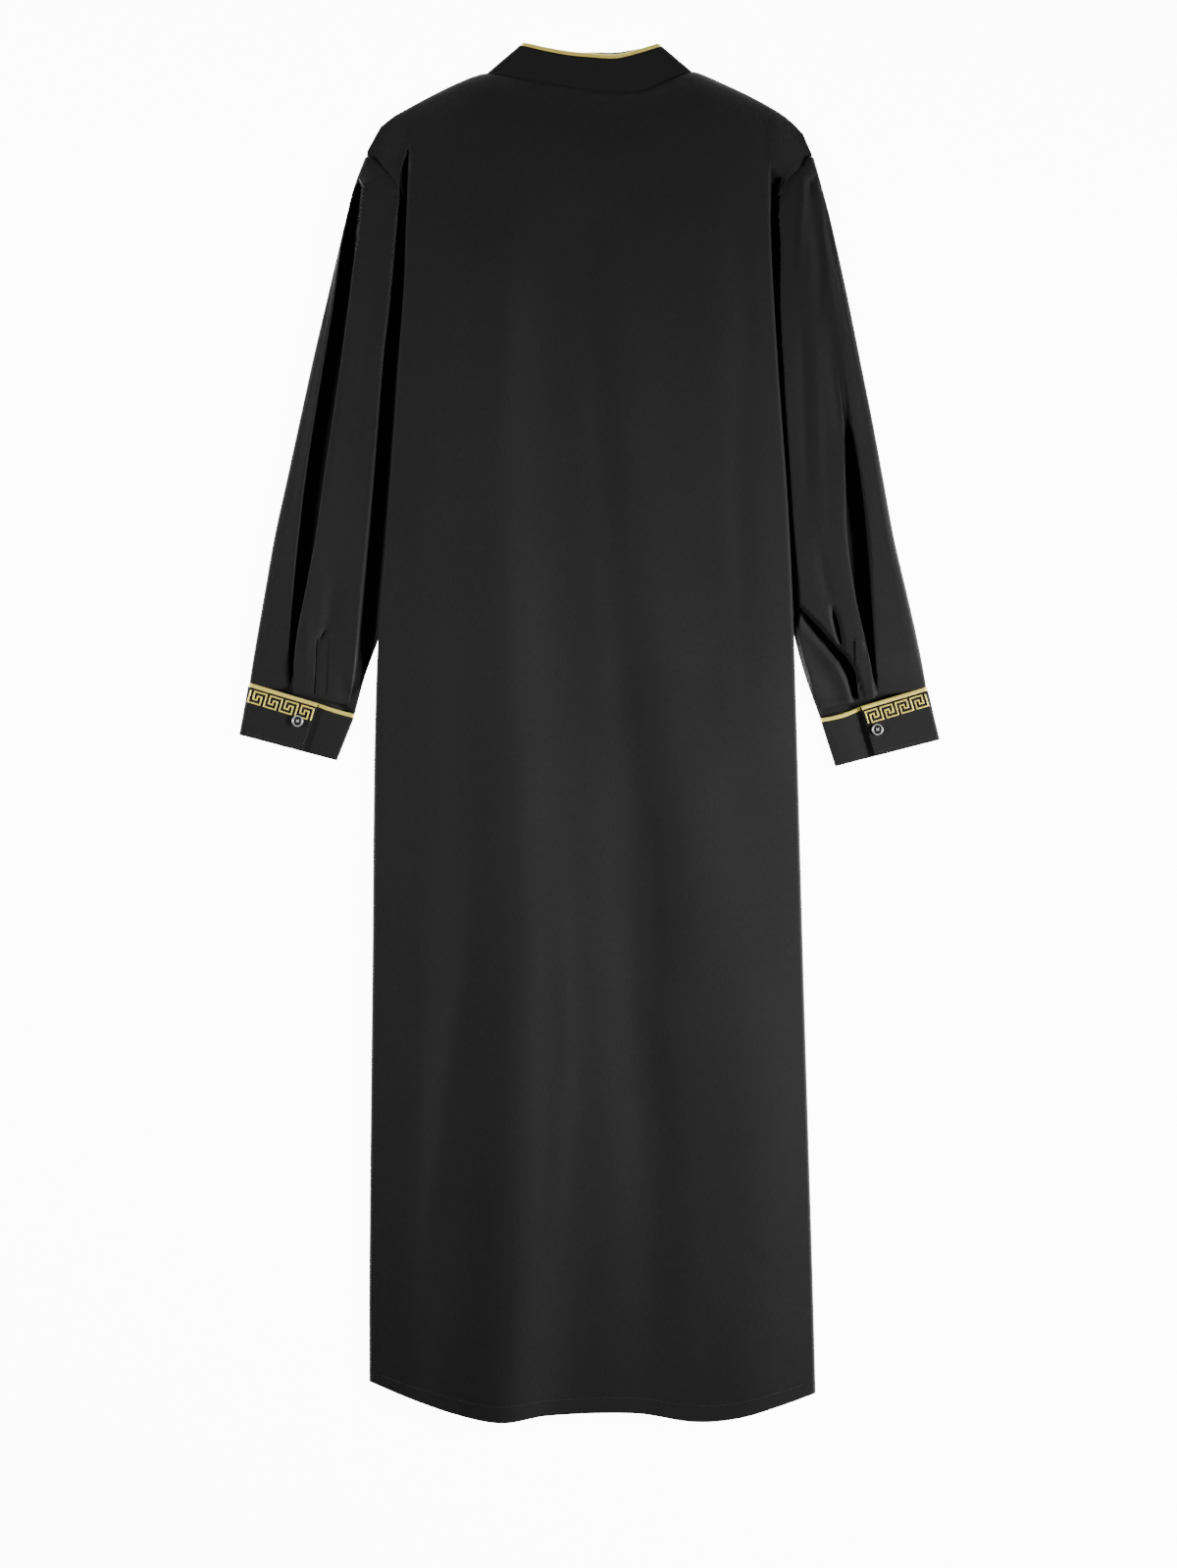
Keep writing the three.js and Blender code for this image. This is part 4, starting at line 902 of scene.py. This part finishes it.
def cloth_from_grid(name, grid, thick, ring=False, open_cells=()):
    """A thin shell of cloth round a grid of middle points, with its cut as the UV map, in millimetres."""
    rows, columns = grid.shape[:2]
    cells = columns if ring else columns - 1
    faces = []
    spots = []
    for i in range(rows - 1):
        for j in range(cells):
            if (i, j) in open_cells:
                continue
            k = (j + 1) % columns
            faces.append((i * columns + j, i * columns + k, (i + 1) * columns + k, (i + 1) * columns + j))
            spots.append(((i, j), (i, j + 1), (i + 1, j + 1), (i + 1, j)))
    closed = np.concatenate([grid, grid[:, :1]], axis=1) if ring else grid
    run = np.linalg.norm(np.diff(closed, axis=1), axis=2)
    across = np.concatenate([np.zeros((rows, 1)), np.cumsum(run, axis=1)], axis=1)
    across = across - across[:, across.shape[1] // 2][:, None]
    rise = np.linalg.norm(np.diff(closed, axis=0), axis=2).mean(axis=1)
    along = np.concatenate([[0], np.cumsum(rise)])
    piece = new_object(name, grid.reshape(-1, 3), faces)
    layer = piece.data.uv_layers.new(name="cut")
    flat = np.array([(across[i, j], along[i]) for face in spots for i, j in face]) * MM
    layer.data.foreach_set("uv", flat.ravel())
    flip_up(piece, grid)
    thicken(piece, thick)
    return piece


def flip_up(piece, grid):
    """Turns the sheet's faces so that the side seen from above looks outward."""
    normals = np.array([face.normal.z * face.area for face in piece.data.polygons])
    heights = np.array([face.center.z for face in piece.data.polygons])
    above = heights > np.median(heights)
    if normals[above].sum() < 0:
        piece.data.flip_normals()


def thicken(piece, thick):
    only(piece)
    shell = piece.modifiers.new("thickness", "SOLIDIFY")
    shell.thickness = thick * MM
    shell.offset = 0
    bpy.ops.object.modifier_apply(modifier=shell.name)
    bpy.ops.object.shade_smooth_by_angle(angle=math.radians(50))


def on_grid(grid, i, j):
    """Points of a grid at broken row and column numbers."""
    i = np.asarray(i, float)
    j = np.asarray(j, float)
    a = np.clip(np.floor(i).astype(int), 0, grid.shape[0] - 2)
    b = np.clip(np.floor(j).astype(int), 0, grid.shape[1] - 2)
    s = (i - a)[..., None]
    t = (j - b)[..., None]
    low = lerp(grid[a, b], grid[a, b + 1], t)
    return lerp(low, lerp(grid[a + 1, b], grid[a + 1, b + 1], t), s)


def ring_faces(rings, turns, base=0):
    """Faces of a closed tube whose rings of points follow one another from number base on."""
    faces = []
    for i in range(rings - 1):
        low = base + i * turns
        for k in range(turns):
            m = (k + 1) % turns
            faces.append((low + k, low + m, low + turns + m, low + turns + k))
    faces.append(tuple(base + k for k in range(turns)))
    faces.append(tuple(base + (rings - 1) * turns + k for k in range(turns)))
    return faces


def sweep(name, route, side, wide, thick, turns=10):
    """A cord with an oval section along a route; side is the direction across it at each point."""
    run = np.gradient(route, axis=0)
    run /= np.linalg.norm(run, axis=1)[:, None]
    side = side - (side * run).sum(axis=1)[:, None] * run
    side /= np.linalg.norm(side, axis=1)[:, None]
    out = np.cross(side, run)
    angle = np.linspace(0, math.tau, turns, endpoint=False)
    rings = []
    for place, a, b in zip(route, side, out):
        rings.append(place + np.outer(np.cos(angle) * wide / 2, a) + np.outer(np.sin(angle) * thick / 2, b))
    piece = new_object(name, np.concatenate(rings), ring_faces(len(route), turns))
    length = np.concatenate([[0], np.cumsum(np.linalg.norm(np.diff(route, axis=0), axis=1))])
    layer = piece.data.uv_layers.new(name="cut")
    for face in piece.data.polygons:
        for loop in face.loop_indices:
            vertex = piece.data.loops[loop].vertex_index
            ring_number, spot = divmod(vertex, turns)
            layer.data[loop].uv = (length[ring_number] * MM, spot / turns * 2 * wide * MM)
    outward(piece)
    return piece


def outward(piece):
    """Turns a closed piece's faces outward and shades it smooth."""
    only(piece)
    bpy.ops.object.mode_set(mode="EDIT")
    bpy.ops.mesh.select_all(action="SELECT")
    bpy.ops.mesh.normals_make_consistent(inside=False)
    bpy.ops.object.mode_set(mode="OBJECT")
    bpy.ops.object.shade_smooth_by_angle(angle=math.radians(50))


def stitches(name, route, normal, pitch=3.0, long=2.2, radius=0.16):
    """A row of thread stitches along a route on the cloth, joined in one mesh."""
    run = np.concatenate([[0], np.cumsum(np.linalg.norm(np.diff(route, axis=0), axis=1))])
    starts = np.arange(pitch / 2, run[-1] - long, pitch)
    points = []
    faces = []
    section = np.linspace(0, math.tau, 5, endpoint=False)
    shape = ((0.0, 0.25, -0.5), (0.2, 0.9, 0.35), (0.5, 1.0, 0.6), (0.8, 0.9, 0.35), (1.0, 0.25, -0.5))
    for start in starts:
        ring = []
        for share, size, lift in shape:
            at = start + share * long
            place = np.array([np.interp(at, run, route[:, k]) for k in range(3)])
            ahead = np.array([np.interp(at + 0.4, run, route[:, k]) for k in range(3)])
            up = np.array([np.interp(at, run, normal[:, k]) for k in range(3)])
            way = ahead - place
            way = way / (np.linalg.norm(way) + 1e-9)
            side = np.cross(up, way)
            for angle in section:
                offset = size * radius * (math.cos(angle) * side + math.sin(angle) * up)
                ring.append(place + offset + lift * radius * up)
        base = len(points)
        points.extend(ring)
        faces.extend(ring_faces(len(shape), len(section), base))
        faces[-1] = tuple(reversed(faces[-1]))
    piece = new_object(name, np.array(points), faces)
    outward(piece)
    return piece


# Materials
def group_socket(tree, name, way, kind, value=None):
    socket = tree.interface.new_socket(name=name, in_out=way, socket_type=kind)
    if value is not None:
        socket.default_value = value
    return socket


def node(tree, kind, **values):
    made = tree.nodes.new(kind)
    for key, value in values.items():
        setattr(made, key, value)
    return made


def noise(tree, place, scale, detail=2.0, rough=0.5):
    made = node(tree, "ShaderNodeTexNoise")
    made.inputs["Scale"].default_value = scale
    made.inputs["Detail"].default_value = detail
    made.inputs["Roughness"].default_value = rough
    tree.links.new(place, made.inputs["Vector"])
    return made.outputs["Fac"]


def stretched(tree, place, scale, turn=0.0):
    made = node(tree, "ShaderNodeMapping")
    made.inputs["Scale"].default_value = scale
    made.inputs["Rotation"].default_value = (0, 0, turn)
    tree.links.new(place, made.inputs["Vector"])
    return made.outputs[0]


def sum_of(tree, operation, *given):
    """A Math node's result from the given sockets and numbers."""
    made = node(tree, "ShaderNodeMath", operation=operation)
    for socket, value in zip(made.inputs, given):
        if isinstance(value, float):
            socket.default_value = value
        else:
            tree.links.new(value, socket)
    return made.outputs[0]


def two_tone(tree, share, dark, pale, start=0.0, end=1.0):
    """A colour between two tones."""
    ramp = node(tree, "ShaderNodeValToRGB")
    for spot, position, colour in zip(ramp.color_ramp.elements, (start, end), (dark, pale)):
        spot.position = position
        spot.color = (*colour, 1)
    tree.links.new(share, ramp.inputs[0])
    return ramp.outputs[0]


def bumped(tree, shader, height, strength, distance):
    bump = node(tree, "ShaderNodeBump")
    bump.inputs["Strength"].default_value = strength
    bump.inputs["Distance"].default_value = distance
    tree.links.new(height, bump.inputs["Height"])
    tree.links.new(bump.outputs[0], shader.inputs["Normal"])


def weave_group():
    """Shared effect: a fine plain weave with slubs, from the cloth's cut in metres."""
    tree = bpy.data.node_groups.new("Plain weave", "ShaderNodeTree")
    group_socket(tree, "Cut", "INPUT", "NodeSocketVector")
    group_socket(tree, "Threads per metre", "INPUT", "NodeSocketFloat", 1300.0)
    group_socket(tree, "Height", "OUTPUT", "NodeSocketFloat")
    group_socket(tree, "Slub", "OUTPUT", "NodeSocketFloat")
    given = node(tree, "NodeGroupInput")
    result = node(tree, "NodeGroupOutput")
    split = node(tree, "ShaderNodeSeparateXYZ")
    tree.links.new(given.outputs["Cut"], split.inputs[0])
    waves = []
    for axis in ("X", "Y"):
        turn = sum_of(tree, "MULTIPLY", split.outputs[axis], given.outputs["Threads per metre"])
        waves.append(sum_of(tree, "SINE", sum_of(tree, "MULTIPLY", turn, math.pi)))
    slub = noise(tree, stretched(tree, given.outputs["Cut"], (900, 140, 1)), 1.0, 4.0, 0.6)
    total = sum_of(tree, "MULTIPLY_ADD", sum_of(tree, "MULTIPLY", *waves), 0.35, slub)
    tree.links.new(total, result.inputs["Height"])
    tree.links.new(slub, result.inputs["Slub"])
    return tree


WEAVE = weave_group()


def new_material(name, **settings):
    material = bpy.data.materials.new(name)
    material.use_nodes = True
    shader = material.node_tree.nodes["Principled BSDF"]
    for key, value in settings.items():
        shader.inputs[key.replace("_", " ")].default_value = value
    return material, material.node_tree, shader


def black_cloth(name, shade, threads=1300.0):
    """Near-black woven cloth with a soft nap."""
    material, tree, shader = new_material(
        name, Roughness=0.75, Specular_IOR_Level=0.2, Sheen_Weight=0.03, Sheen_Roughness=0.5)
    cut = node(tree, "ShaderNodeUVMap", uv_map="cut")
    weave = node(tree, "ShaderNodeGroup", node_tree=WEAVE)
    weave.inputs["Threads per metre"].default_value = threads
    tree.links.new(cut.outputs[0], weave.inputs["Cut"])
    # Slow unevenness of the dye and the nap
    patch = noise(tree, node(tree, "ShaderNodeTexCoord").outputs["Object"], 9.0, 3.0)
    blend = sum_of(tree, "MULTIPLY_ADD", patch, 0.45, weave.outputs["Slub"])
    dark, pale = ([shade * part for part in tone] for tone in ((0.78, 0.78, 0.8), (1.25, 1.25, 1.27)))
    tree.links.new(two_tone(tree, blend, dark, pale, 0.45), shader.inputs["Base Color"])
    bumped(tree, shader, weave.outputs["Height"], 0.35, 0.00025)
    return material


def gold_thread(name, across, along):
    """Pale gold satin thread, its strands running across the line."""
    material, tree, shader = new_material(
        name, Roughness=0.38, Metallic=0.3, Sheen_Weight=1.0, Sheen_Roughness=0.4,
        Sheen_Tint=(1.0, 0.84, 0.25, 1), Specular_IOR_Level=0.5)
    cut = node(tree, "ShaderNodeUVMap", uv_map="cut")
    strand = noise(tree, stretched(tree, cut.outputs[0], (across, along, 1), 0.35), 1.0)
    tone = two_tone(tree, strand, (0.90, 0.60, 0.05), (1.0, 0.90, 0.24), 0.3, 0.62)
    tree.links.new(tone, shader.inputs["Base Color"])
    bumped(tree, shader, strand, 0.6, 0.0002)
    return material


def silver_metal():
    """Polished silver-coloured button with fine turning marks, and painted shade: its dished face is
    coloured near-black.
    """
    material, tree, shader = new_material("polished silver", Roughness=0.36, Metallic=0.85)
    grain = noise(tree, node(tree, "ShaderNodeTexCoord").outputs["Object"], 1400.0)
    # Painted shade: the dished face inside the rim is coloured near-black, standing in for the shadow in its
    # recess
    dish_shade_mask = node(tree, "ShaderNodeAttribute", attribute_name="dish_shade_mask")
    painted_recess_shade = node(tree, "ShaderNodeMix", data_type="RGBA")
    painted_recess_shade.inputs[7].default_value = (0.035, 0.036, 0.038, 1)
    tree.links.new(dish_shade_mask.outputs["Fac"], painted_recess_shade.inputs[0])
    tree.links.new(two_tone(tree, grain, (0.58, 0.59, 0.6), (0.84, 0.85, 0.86)), painted_recess_shade.inputs[6])
    tree.links.new(painted_recess_shade.outputs[2], shader.inputs["Base Color"])
    bumped(tree, shader, grain, 0.15, 0.00005)
    return material


def thread_material(name, colour):
    material, tree, shader = new_material(name, Roughness=0.5, Sheen_Weight=0.3)
    strand = noise(tree, node(tree, "ShaderNodeTexCoord").outputs["Object"], 2500.0)
    dark, pale = ([part * c for c in colour] for part in (0.7, 1.2))
    tree.links.new(two_tone(tree, strand, dark, pale), shader.inputs["Base Color"])
    return material


CLOTH_BLACK = black_cloth("black cloth", 0.0095)
BAND_BLACK = black_cloth("black cloth, double", 0.0095, 1200.0)
PIPING_GOLD = gold_thread("gold piping", 2200, 500)
FRET_GOLD = gold_thread("gold border", 300, 2600)
SILVER = silver_metal()
BLACK_THREAD = thread_material("black thread", (0.03, 0.03, 0.032))
PALE_THREAD = thread_material("pale thread", (0.7, 0.7, 0.68))


def dress(piece, material, slot, *nodes):
    """Gives a piece its material and its body, and hides the model's parts that it stands for."""
    piece.data.materials.clear()
    piece.data.materials.append(material)
    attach(piece, "root")
    if nodes:
        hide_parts(*nodes)
    return piece


# Body panels
back_points = back_grid()
back = dress(cloth_from_grid("back_panel", back_points, CLOTH), CLOTH_BLACK, "black_cloth", "back")
front_points, front_open = front_grid()
front = dress(cloth_from_grid("front_panel", front_points, CLOTH, open_cells=front_open),
              CLOTH_BLACK, "black_cloth", "front")


def up_from(grid, i, j):
    """Upward direction of a grid's surface at broken row and column numbers."""
    along = on_grid(grid, i + 0.5, j) - on_grid(grid, i - 0.5, j)
    across = on_grid(grid, i, j + 0.5) - on_grid(grid, i, j - 0.5)
    up = np.cross(across, along)
    up /= np.linalg.norm(up, axis=-1)[..., None]
    return np.where(up[..., 2:] < 0, -up, up)


def stitch_row(name, grid, i, j, lift):
    i, j = np.broadcast_arrays(np.asarray(i, float), np.asarray(j, float))
    up = up_from(grid, i, j)
    return dress(stitches(name, on_grid(grid, i, j) + lift * up, up), BLACK_THREAD, "black_cloth")


TURNED = TURN_POINTS + RUN_POINTS
hem_across = np.linspace(TURNED + 1, back_points.shape[1] - TURNED - 2, 500)
stitch_row("hem_stitches", back_points, 3.6, hem_across, CLOTH / 2)

# Sleeves and cuffs
sleeve_points = {}
for side, cuff in CUFFS.items():
    points = sleeve_grid(side)
    sleeve_points[side] = points
    dress(
        cloth_from_grid(f"sleeve_{side}_cloth", points, CLOTH, ring=True),
        CLOTH_BLACK, "black_cloth", f"sleeve_{side}")
    band_points = cuff_grid(cuff)
    dress(
        cloth_from_grid(f"cuff_{side}_band", band_points, BAND), BAND_BLACK, "black_cloth", f"cuff_{side}")
    columns = band_points.shape[1]
    over = np.linspace(columns - 25, columns - 1.6, 90)
    stitch_row(f"cuff_{side}_lower_stitches", band_points, 20.4, over, BAND / 2)
    down = np.linspace(2.5, 20.4, 60)
    stitch_row(f"cuff_{side}_end_stitches", band_points, down, columns - 1.7, BAND / 2)
    axis = cuff_point(cuff, 0.5, 0) - cuff_point(cuff, 0.5, 1)
    axis = np.array([*axis / np.linalg.norm(axis), 0])
    across, height = cuff_section(cuff, cuff["overlap"] + 0.012)
    flat = cuff_point(cuff, across, 0)
    route = np.column_stack([flat, height + 0.3]) + axis * (SEAM + 1.7)
    route[:, 2] = np.maximum(route[:, 2], PIPING_THICK / 2)
    across_route = np.tile(axis, (len(route), 1))
    piping = sweep(f"cuff_{side}_piping", route, across_route, PIPING_WIDE, PIPING_THICK + 0.3)
    dress(piping, PIPING_GOLD, "gold_trim", f"cuff_piping_{side}")

# Collar and its piping
collar_points = collar_grid()
collar = dress(cloth_from_grid("collar_band", collar_points, BAND), BAND_BLACK, "black_cloth", "collar")
parts = collar_parts()
slant = collar_point(parts, 1.0) - collar_point(parts, 0.0)
slant /= np.linalg.norm(slant, axis=1)[:, None]
collar_route = collar_point(parts, 1.0) + slant * (SEAM + PIPING_WIDE / 2)
collar_piping = sweep("collar_gold_piping", collar_route, slant, PIPING_WIDE, PIPING_THICK + 0.3)
dress(collar_piping, PIPING_GOLD, "gold_trim", "collar_piping")
# Collar's inner edge, which peeks out above the piping at the nape, and the allowance that closes the seam
for name, start, end, past, peek, drop, wide, thick in (
    ("collar_inner_edge", 0.45, 0.64, SEAM + 0.45 * PIPING_WIDE, 0.75 * PIPING_WIDE, 0.6, 2.2, 1.0),
    ("collar_seam_allowance", 0.35, 0.65, 0.4, 0.0, 0.9, 3.2, 0.8),
):
    nape = (parts > start) & (parts < end)
    reach = past + peek * np.sin(np.pi * (parts[nape] - start) / (end - start))
    nape_route = collar_point(parts[nape], 1.0) + slant[nape] * reach[:, None] - np.array([0, 0, drop])
    dress(sweep(name, nape_route, slant[nape], wide, thick), BAND_BLACK, "black_cloth")


# Key border on each cuff
def key_line(cells):
    cell = [(0, 0), (0, 6), (6, 6), (6, 2), (4, 2), (4, 4), (2, 4), (2, 0)]
    line = [(x + 8 * n, y) for n in range(cells) for x, y in cell]
    return np.array([*line, (8 * cells, 0), (8 * cells, 6)], float)


def fret(side, cuff):
    """A satin-stitched line of even width, rounded across, following the key border."""
    width = cuff_width(cuff)
    long = cuff["overlap"] * width - FRET_INSET - FRET_END - FRET_LINE / 2
    line = key_line(FRET_CELLS) * np.array([long / (8 * FRET_CELLS), FRET_UNIT])
    along = cuff_point(cuff, 1.0, 0) - cuff_point(cuff, 0.0, 0)
    along = np.array([*along / np.linalg.norm(along), 0])
    down = np.array([-along[1], along[0], 0])
    down = down if down[1] < 0 else -down
    start = np.array([*cuff_point(cuff, 0.0, 0), CUFF_OVER + BAND / 2 + 0.05])
    start = start + along * FRET_INSET + down * (FRET_DROP + FRET_LINE / 2)
    steps = np.diff(line, axis=0)
    points = []
    faces = []
    cuts = []
    profile = [(-1.0, 0.0), (-0.86, 0.55), (-0.45, 0.93), (0.0, 1.0), (0.45, 0.93), (0.86, 0.55), (1.0, 0.0)]
    rings = []
    for i, corner in enumerate(line):
        into = steps[i - 1] if i > 0 else steps[0]
        out = steps[i] if i < len(steps) else steps[-1]
        a = np.array([-into[1], into[0]]) / np.hypot(*into)
        b = np.array([-out[1], out[0]]) / np.hypot(*out)
        mitre = a if abs(a.dot(b)) > 0.5 else a + b
        run = 0 if i == 0 else rings[-1][2] + np.hypot(*into)
        rings.append((corner, mitre, run))
    for corner, mitre, run in rings:
        for reach, rise in profile:
            spot = corner + mitre * reach * FRET_LINE / 2
            points.append(start + along * spot[0] + down * spot[1] + np.array([0, 0, rise * FRET_THICK]))
            cuts.append((run, reach * FRET_LINE / 2))
    piece = new_object(f"cuff_{side}_key_border", points, ring_faces(len(rings), len(profile)))
    layer = piece.data.uv_layers.new(name="cut")
    for loop in piece.data.loops:
        layer.data[loop.index].uv = tuple(np.array(cuts[loop.vertex_index]) * MM)
    outward(piece)
    return dress(piece, FRET_GOLD, "gold_trim", f"cuff_fret_{side}")


for side, cuff in CUFFS.items():
    fret(side, cuff)


# Buttons, modelled once and copied
def button():
    half = BUTTON_ACROSS / 2 * MM
    bpy.ops.object.select_all(action="DESELECT")
    bpy.ops.mesh.primitive_cylinder_add(vertices=64, radius=half, depth=BUTTON_THICK * MM)
    piece = bpy.context.object
    bpy.ops.object.mode_set(mode="EDIT")
    bpy.ops.mesh.select_all(action="DESELECT")
    bpy.ops.object.mode_set(mode="OBJECT")
    for face in piece.data.polygons:
        face.select = face.normal.z > 0.9
    bpy.ops.object.mode_set(mode="EDIT")
    bpy.ops.mesh.inset(thickness=BUTTON_RIM * MM)
    bpy.ops.mesh.inset(thickness=0.4 * MM, depth=-BUTTON_DISH * MM)
    bpy.ops.object.mode_set(mode="OBJECT")
    soft = piece.modifiers.new("soft edges", "BEVEL")
    soft.width = 0.35 * MM
    soft.segments = 3
    soft.limit_method = "ANGLE"
    soft.angle_limit = math.radians(30)
    bpy.ops.object.modifier_apply(modifier=soft.name)
    reach = HOLE_FROM_MIDDLE * MM
    for k in range(4):
        angle = math.pi / 4 + k * math.pi / 2
        bpy.ops.object.select_all(action="DESELECT")
        bpy.ops.mesh.primitive_cylinder_add(
            vertices=20, radius=HOLE_RADIUS * MM, depth=8 * MM,
            location=(reach * math.cos(angle), reach * math.sin(angle), 0))
        drill = bpy.context.object
        only(piece)
        cut = piece.modifiers.new("hole", "BOOLEAN")
        cut.object = drill
        cut.operation = "DIFFERENCE"
        cut.solver = "EXACT"
        bpy.ops.object.modifier_apply(modifier=cut.name)
        bpy.data.objects.remove(drill)
    # Marks the dished face inside the rim, which the silver material paints near-black as shade
    dish_shade_mask = piece.data.attributes.new("dish_shade_mask", "FLOAT", "POINT")
    for point in piece.data.vertices:
        across = math.hypot(point.co.x, point.co.y) / MM
        dish_shade_mask.data[point.index].value = 1.0 if across < BUTTON_ACROSS / 2 - 1.5 else 0.0
    bpy.ops.object.shade_smooth_by_angle(angle=math.radians(35))
    return piece


def place_button(master, name, x, y, z, face_up, turn):
    piece = master.copy()
    piece.data = master.data.copy()
    piece.name = name
    bpy.context.scene.collection.objects.link(piece)
    only(piece)
    piece.rotation_euler = (0 if face_up else math.pi, 0, turn)
    piece.location = (x * MM, y * MM, (z + BUTTON_THICK / 2) * MM)
    bpy.ops.object.transform_apply(location=True, rotation=True, scale=True)
    return piece


def cross_thread(name, x, y, z):
    """The crossed stitches that hold a button, over its dished face."""
    routes = []
    for turn in (math.pi / 4, 3 * math.pi / 4):
        t = np.linspace(-1, 1, 13)
        reach = 1.75 * t
        lift = 0.55 * (1 - t**4) - 0.25
        routes.append(np.column_stack([x + reach * math.cos(turn), y + reach * math.sin(turn), z + lift]))
    made = []
    for k, route in enumerate(routes):
        route[:, 2] += 0.28 * k
        made.append(sweep(f"{name}_{k + 1}", route, np.tile([0.3, 0.3, 1.0], (13, 1)), 0.7, 0.7, turns=8))
    only(made[0])
    made[1].select_set(True)
    bpy.ops.object.join()
    made[0].name = name
    return made[0]


master_button = button()
for side, cuff in CUFFS.items():
    x, y = cuff["button"]
    base = CUFF_OVER + BAND / 2 + SEAM
    piece = place_button(master_button, f"cuff_{side}_silver_button", x, y, base, True, 0.2)
    dress(piece, SILVER, "silver_button", f"cuff_button_{side}")
    thread = cross_thread(f"cuff_{side}_button_thread", x, y, base + BUTTON_THICK - 0.8)
    dress(thread, PALE_THREAD, "silver_button")
for k in range(4):
    low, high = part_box(f"front_button_{k + 1}")
    x, y = [(low[n] + high[n]) / 2 / MM for n in range(2)]
    piece = place_button(master_button, f"front_silver_button_{k + 1}", x, y, low[2] / MM, False, 0.4)
    dress(piece, SILVER, "silver_button", f"front_button_{k + 1}")
bpy.data.objects.remove(master_button)


# Plain strips: the placket under the front, and the bound slit above each cuff
def box_uv(piece):
    """A cut map for a flat strip, from its own places."""
    layer = piece.data.uv_layers.new(name="cut")
    for loop in piece.data.loops:
        place = piece.data.vertices[loop.vertex_index].co
        layer.data[loop.index].uv = (place.x, place.y)


def flat_strip(name, node_name):
    low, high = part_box(node_name)
    bpy.ops.object.select_all(action="DESELECT")
    bpy.ops.mesh.primitive_cube_add(size=1)
    piece = bpy.context.object
    piece.name = name
    piece.dimensions = [high[k] - low[k] for k in range(3)]
    piece.location = [(high[k] + low[k]) / 2 for k in range(3)]
    bpy.ops.object.transform_apply(location=True, rotation=True, scale=True)
    soft = piece.modifiers.new("soft edges", "BEVEL")
    soft.width = 0.3 * MM
    soft.segments = 2
    bpy.ops.object.modifier_apply(modifier=soft.name)
    bpy.ops.object.mode_set(mode="EDIT")
    bpy.ops.mesh.select_all(action="SELECT")
    bpy.ops.mesh.subdivide(number_cuts=3)
    bpy.ops.object.mode_set(mode="OBJECT")
    box_uv(piece)
    bpy.ops.object.shade_smooth_by_angle(angle=math.radians(40))
    return dress(piece, CLOTH_BLACK, "black_cloth", node_name)


placket = flat_strip("front_placket_strip", "front_placket")
underlap = flat_strip("front_underlap_strip", "front_underlap")


def height_over(points, x, y):
    """Height of a cloth's upper side at places seen from above, from its nearest middle points."""
    cloud = points.reshape(-1, 3)
    cloud = cloud[cloud[:, 2] > SLEEVE_TOP + 0.8]
    heights = []
    for place_x, place_y in zip(np.ravel(x), np.ravel(y)):
        away = np.hypot(cloud[:, 0] - place_x, cloud[:, 1] - place_y)
        near = np.argsort(away)[:6]
        weight = 1 / (away[near] + 0.3) ** 2
        heights.append((cloud[near, 2] * weight).sum() / weight.sum())
    return np.reshape(heights, np.shape(x))


SLITS = {
    "left": {"edge": [(-276.3, 94), (-277.6, 64), (-279.2, 36.5)], "wide": SLIT_WIDE},
    "right": {"edge": [(280.6, 92), (281.4, 60), (284.6, 32)], "wide": -SLIT_WIDE},
}
for side, slit in SLITS.items():
    share = np.linspace(0, 1, 26)
    edge = np.column_stack([np.interp(share * 2, [0, 1, 2], [p[n] for p in slit["edge"]]) for n in range(2)])
    across = np.linspace(0, slit["wide"], 7)
    x = edge[:, :1] + across[None, :]
    y = np.repeat(edge[:, 1:], 7, axis=1)
    z = height_over(sleeve_points[side], x, y) + CLOTH + 0.25
    strip = cloth_from_grid(f"slit_{side}_strip", np.dstack([x, y, z]), 0.6)
    dress(strip, CLOTH_BLACK, "black_cloth", f"sleeve_placket_{side}")

# Box of each plain strip's part, read and not used
for strip, strip_node in ((placket, "front_placket"), (underlap, "front_underlap")):
    low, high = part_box(strip_node)

# Floor, light and camera
bpy.ops.object.select_all(action="DESELECT")
bpy.ops.mesh.primitive_plane_add(size=30, location=(0, 0, -0.0004))
floor = bpy.context.object
floor.name = "studio_floor"
pale = new_material("pale floor", Base_Color=(0.86, 0.86, 0.86, 1), Roughness=0.9,
                    Emission_Color=(1, 1, 1, 1), Emission_Strength=12.0)[0]
floor.data.materials.append(pale)


SIDE_TILT = math.radians(66.6)


def softbox(name, place, turn, wide, long, power):
    data = bpy.data.lights.new(name, "AREA")
    data.shape = "RECTANGLE"
    data.size = wide
    data.size_y = long
    data.energy = power
    data.spread = math.radians(60)
    lamp = bpy.data.objects.new(name, data)
    lamp.location = place
    lamp.rotation_euler = turn
    lamp.visible_camera = False
    bpy.context.scene.collection.objects.link(lamp)
    return lamp


softbox("right softbox", (2.2, -0.2, 0.95), (0, SIDE_TILT, 0), 0.3, 0.9, 19)
softbox("left softbox", (-2.2, 0.25, 0.95), (0, -SIDE_TILT, 0), 0.3, 0.9, 6.8)
softbox("overhead fill", (0.0, -0.11, 2.2), (0, 0, 0), 0.8, 0.8, 0.2)
world = bpy.data.worlds.new("studio")
bpy.context.scene.world = world
world.use_nodes = True
world.node_tree.nodes["Background"].inputs["Color"].default_value = (1, 1, 1, 1)
world.node_tree.nodes["Background"].inputs["Strength"].default_value = 0.02

# The photograph's frame is 1200 by 1599 points at 1 mm each, looked at from straight above
VIEW_CENTRE = (-0.001, -0.054)
VIEW_TALL = 1.599
LENS = 85
SENSOR = 36
camera_data = bpy.data.cameras.new("camera")
camera_data.lens = LENS
camera_data.sensor_width = SENSOR
camera_data.sensor_fit = "AUTO"
camera = bpy.data.objects.new("camera", camera_data)
camera.location = (*VIEW_CENTRE, VIEW_TALL * LENS / SENSOR)
bpy.context.scene.collection.objects.link(camera)
bpy.context.scene.camera = camera
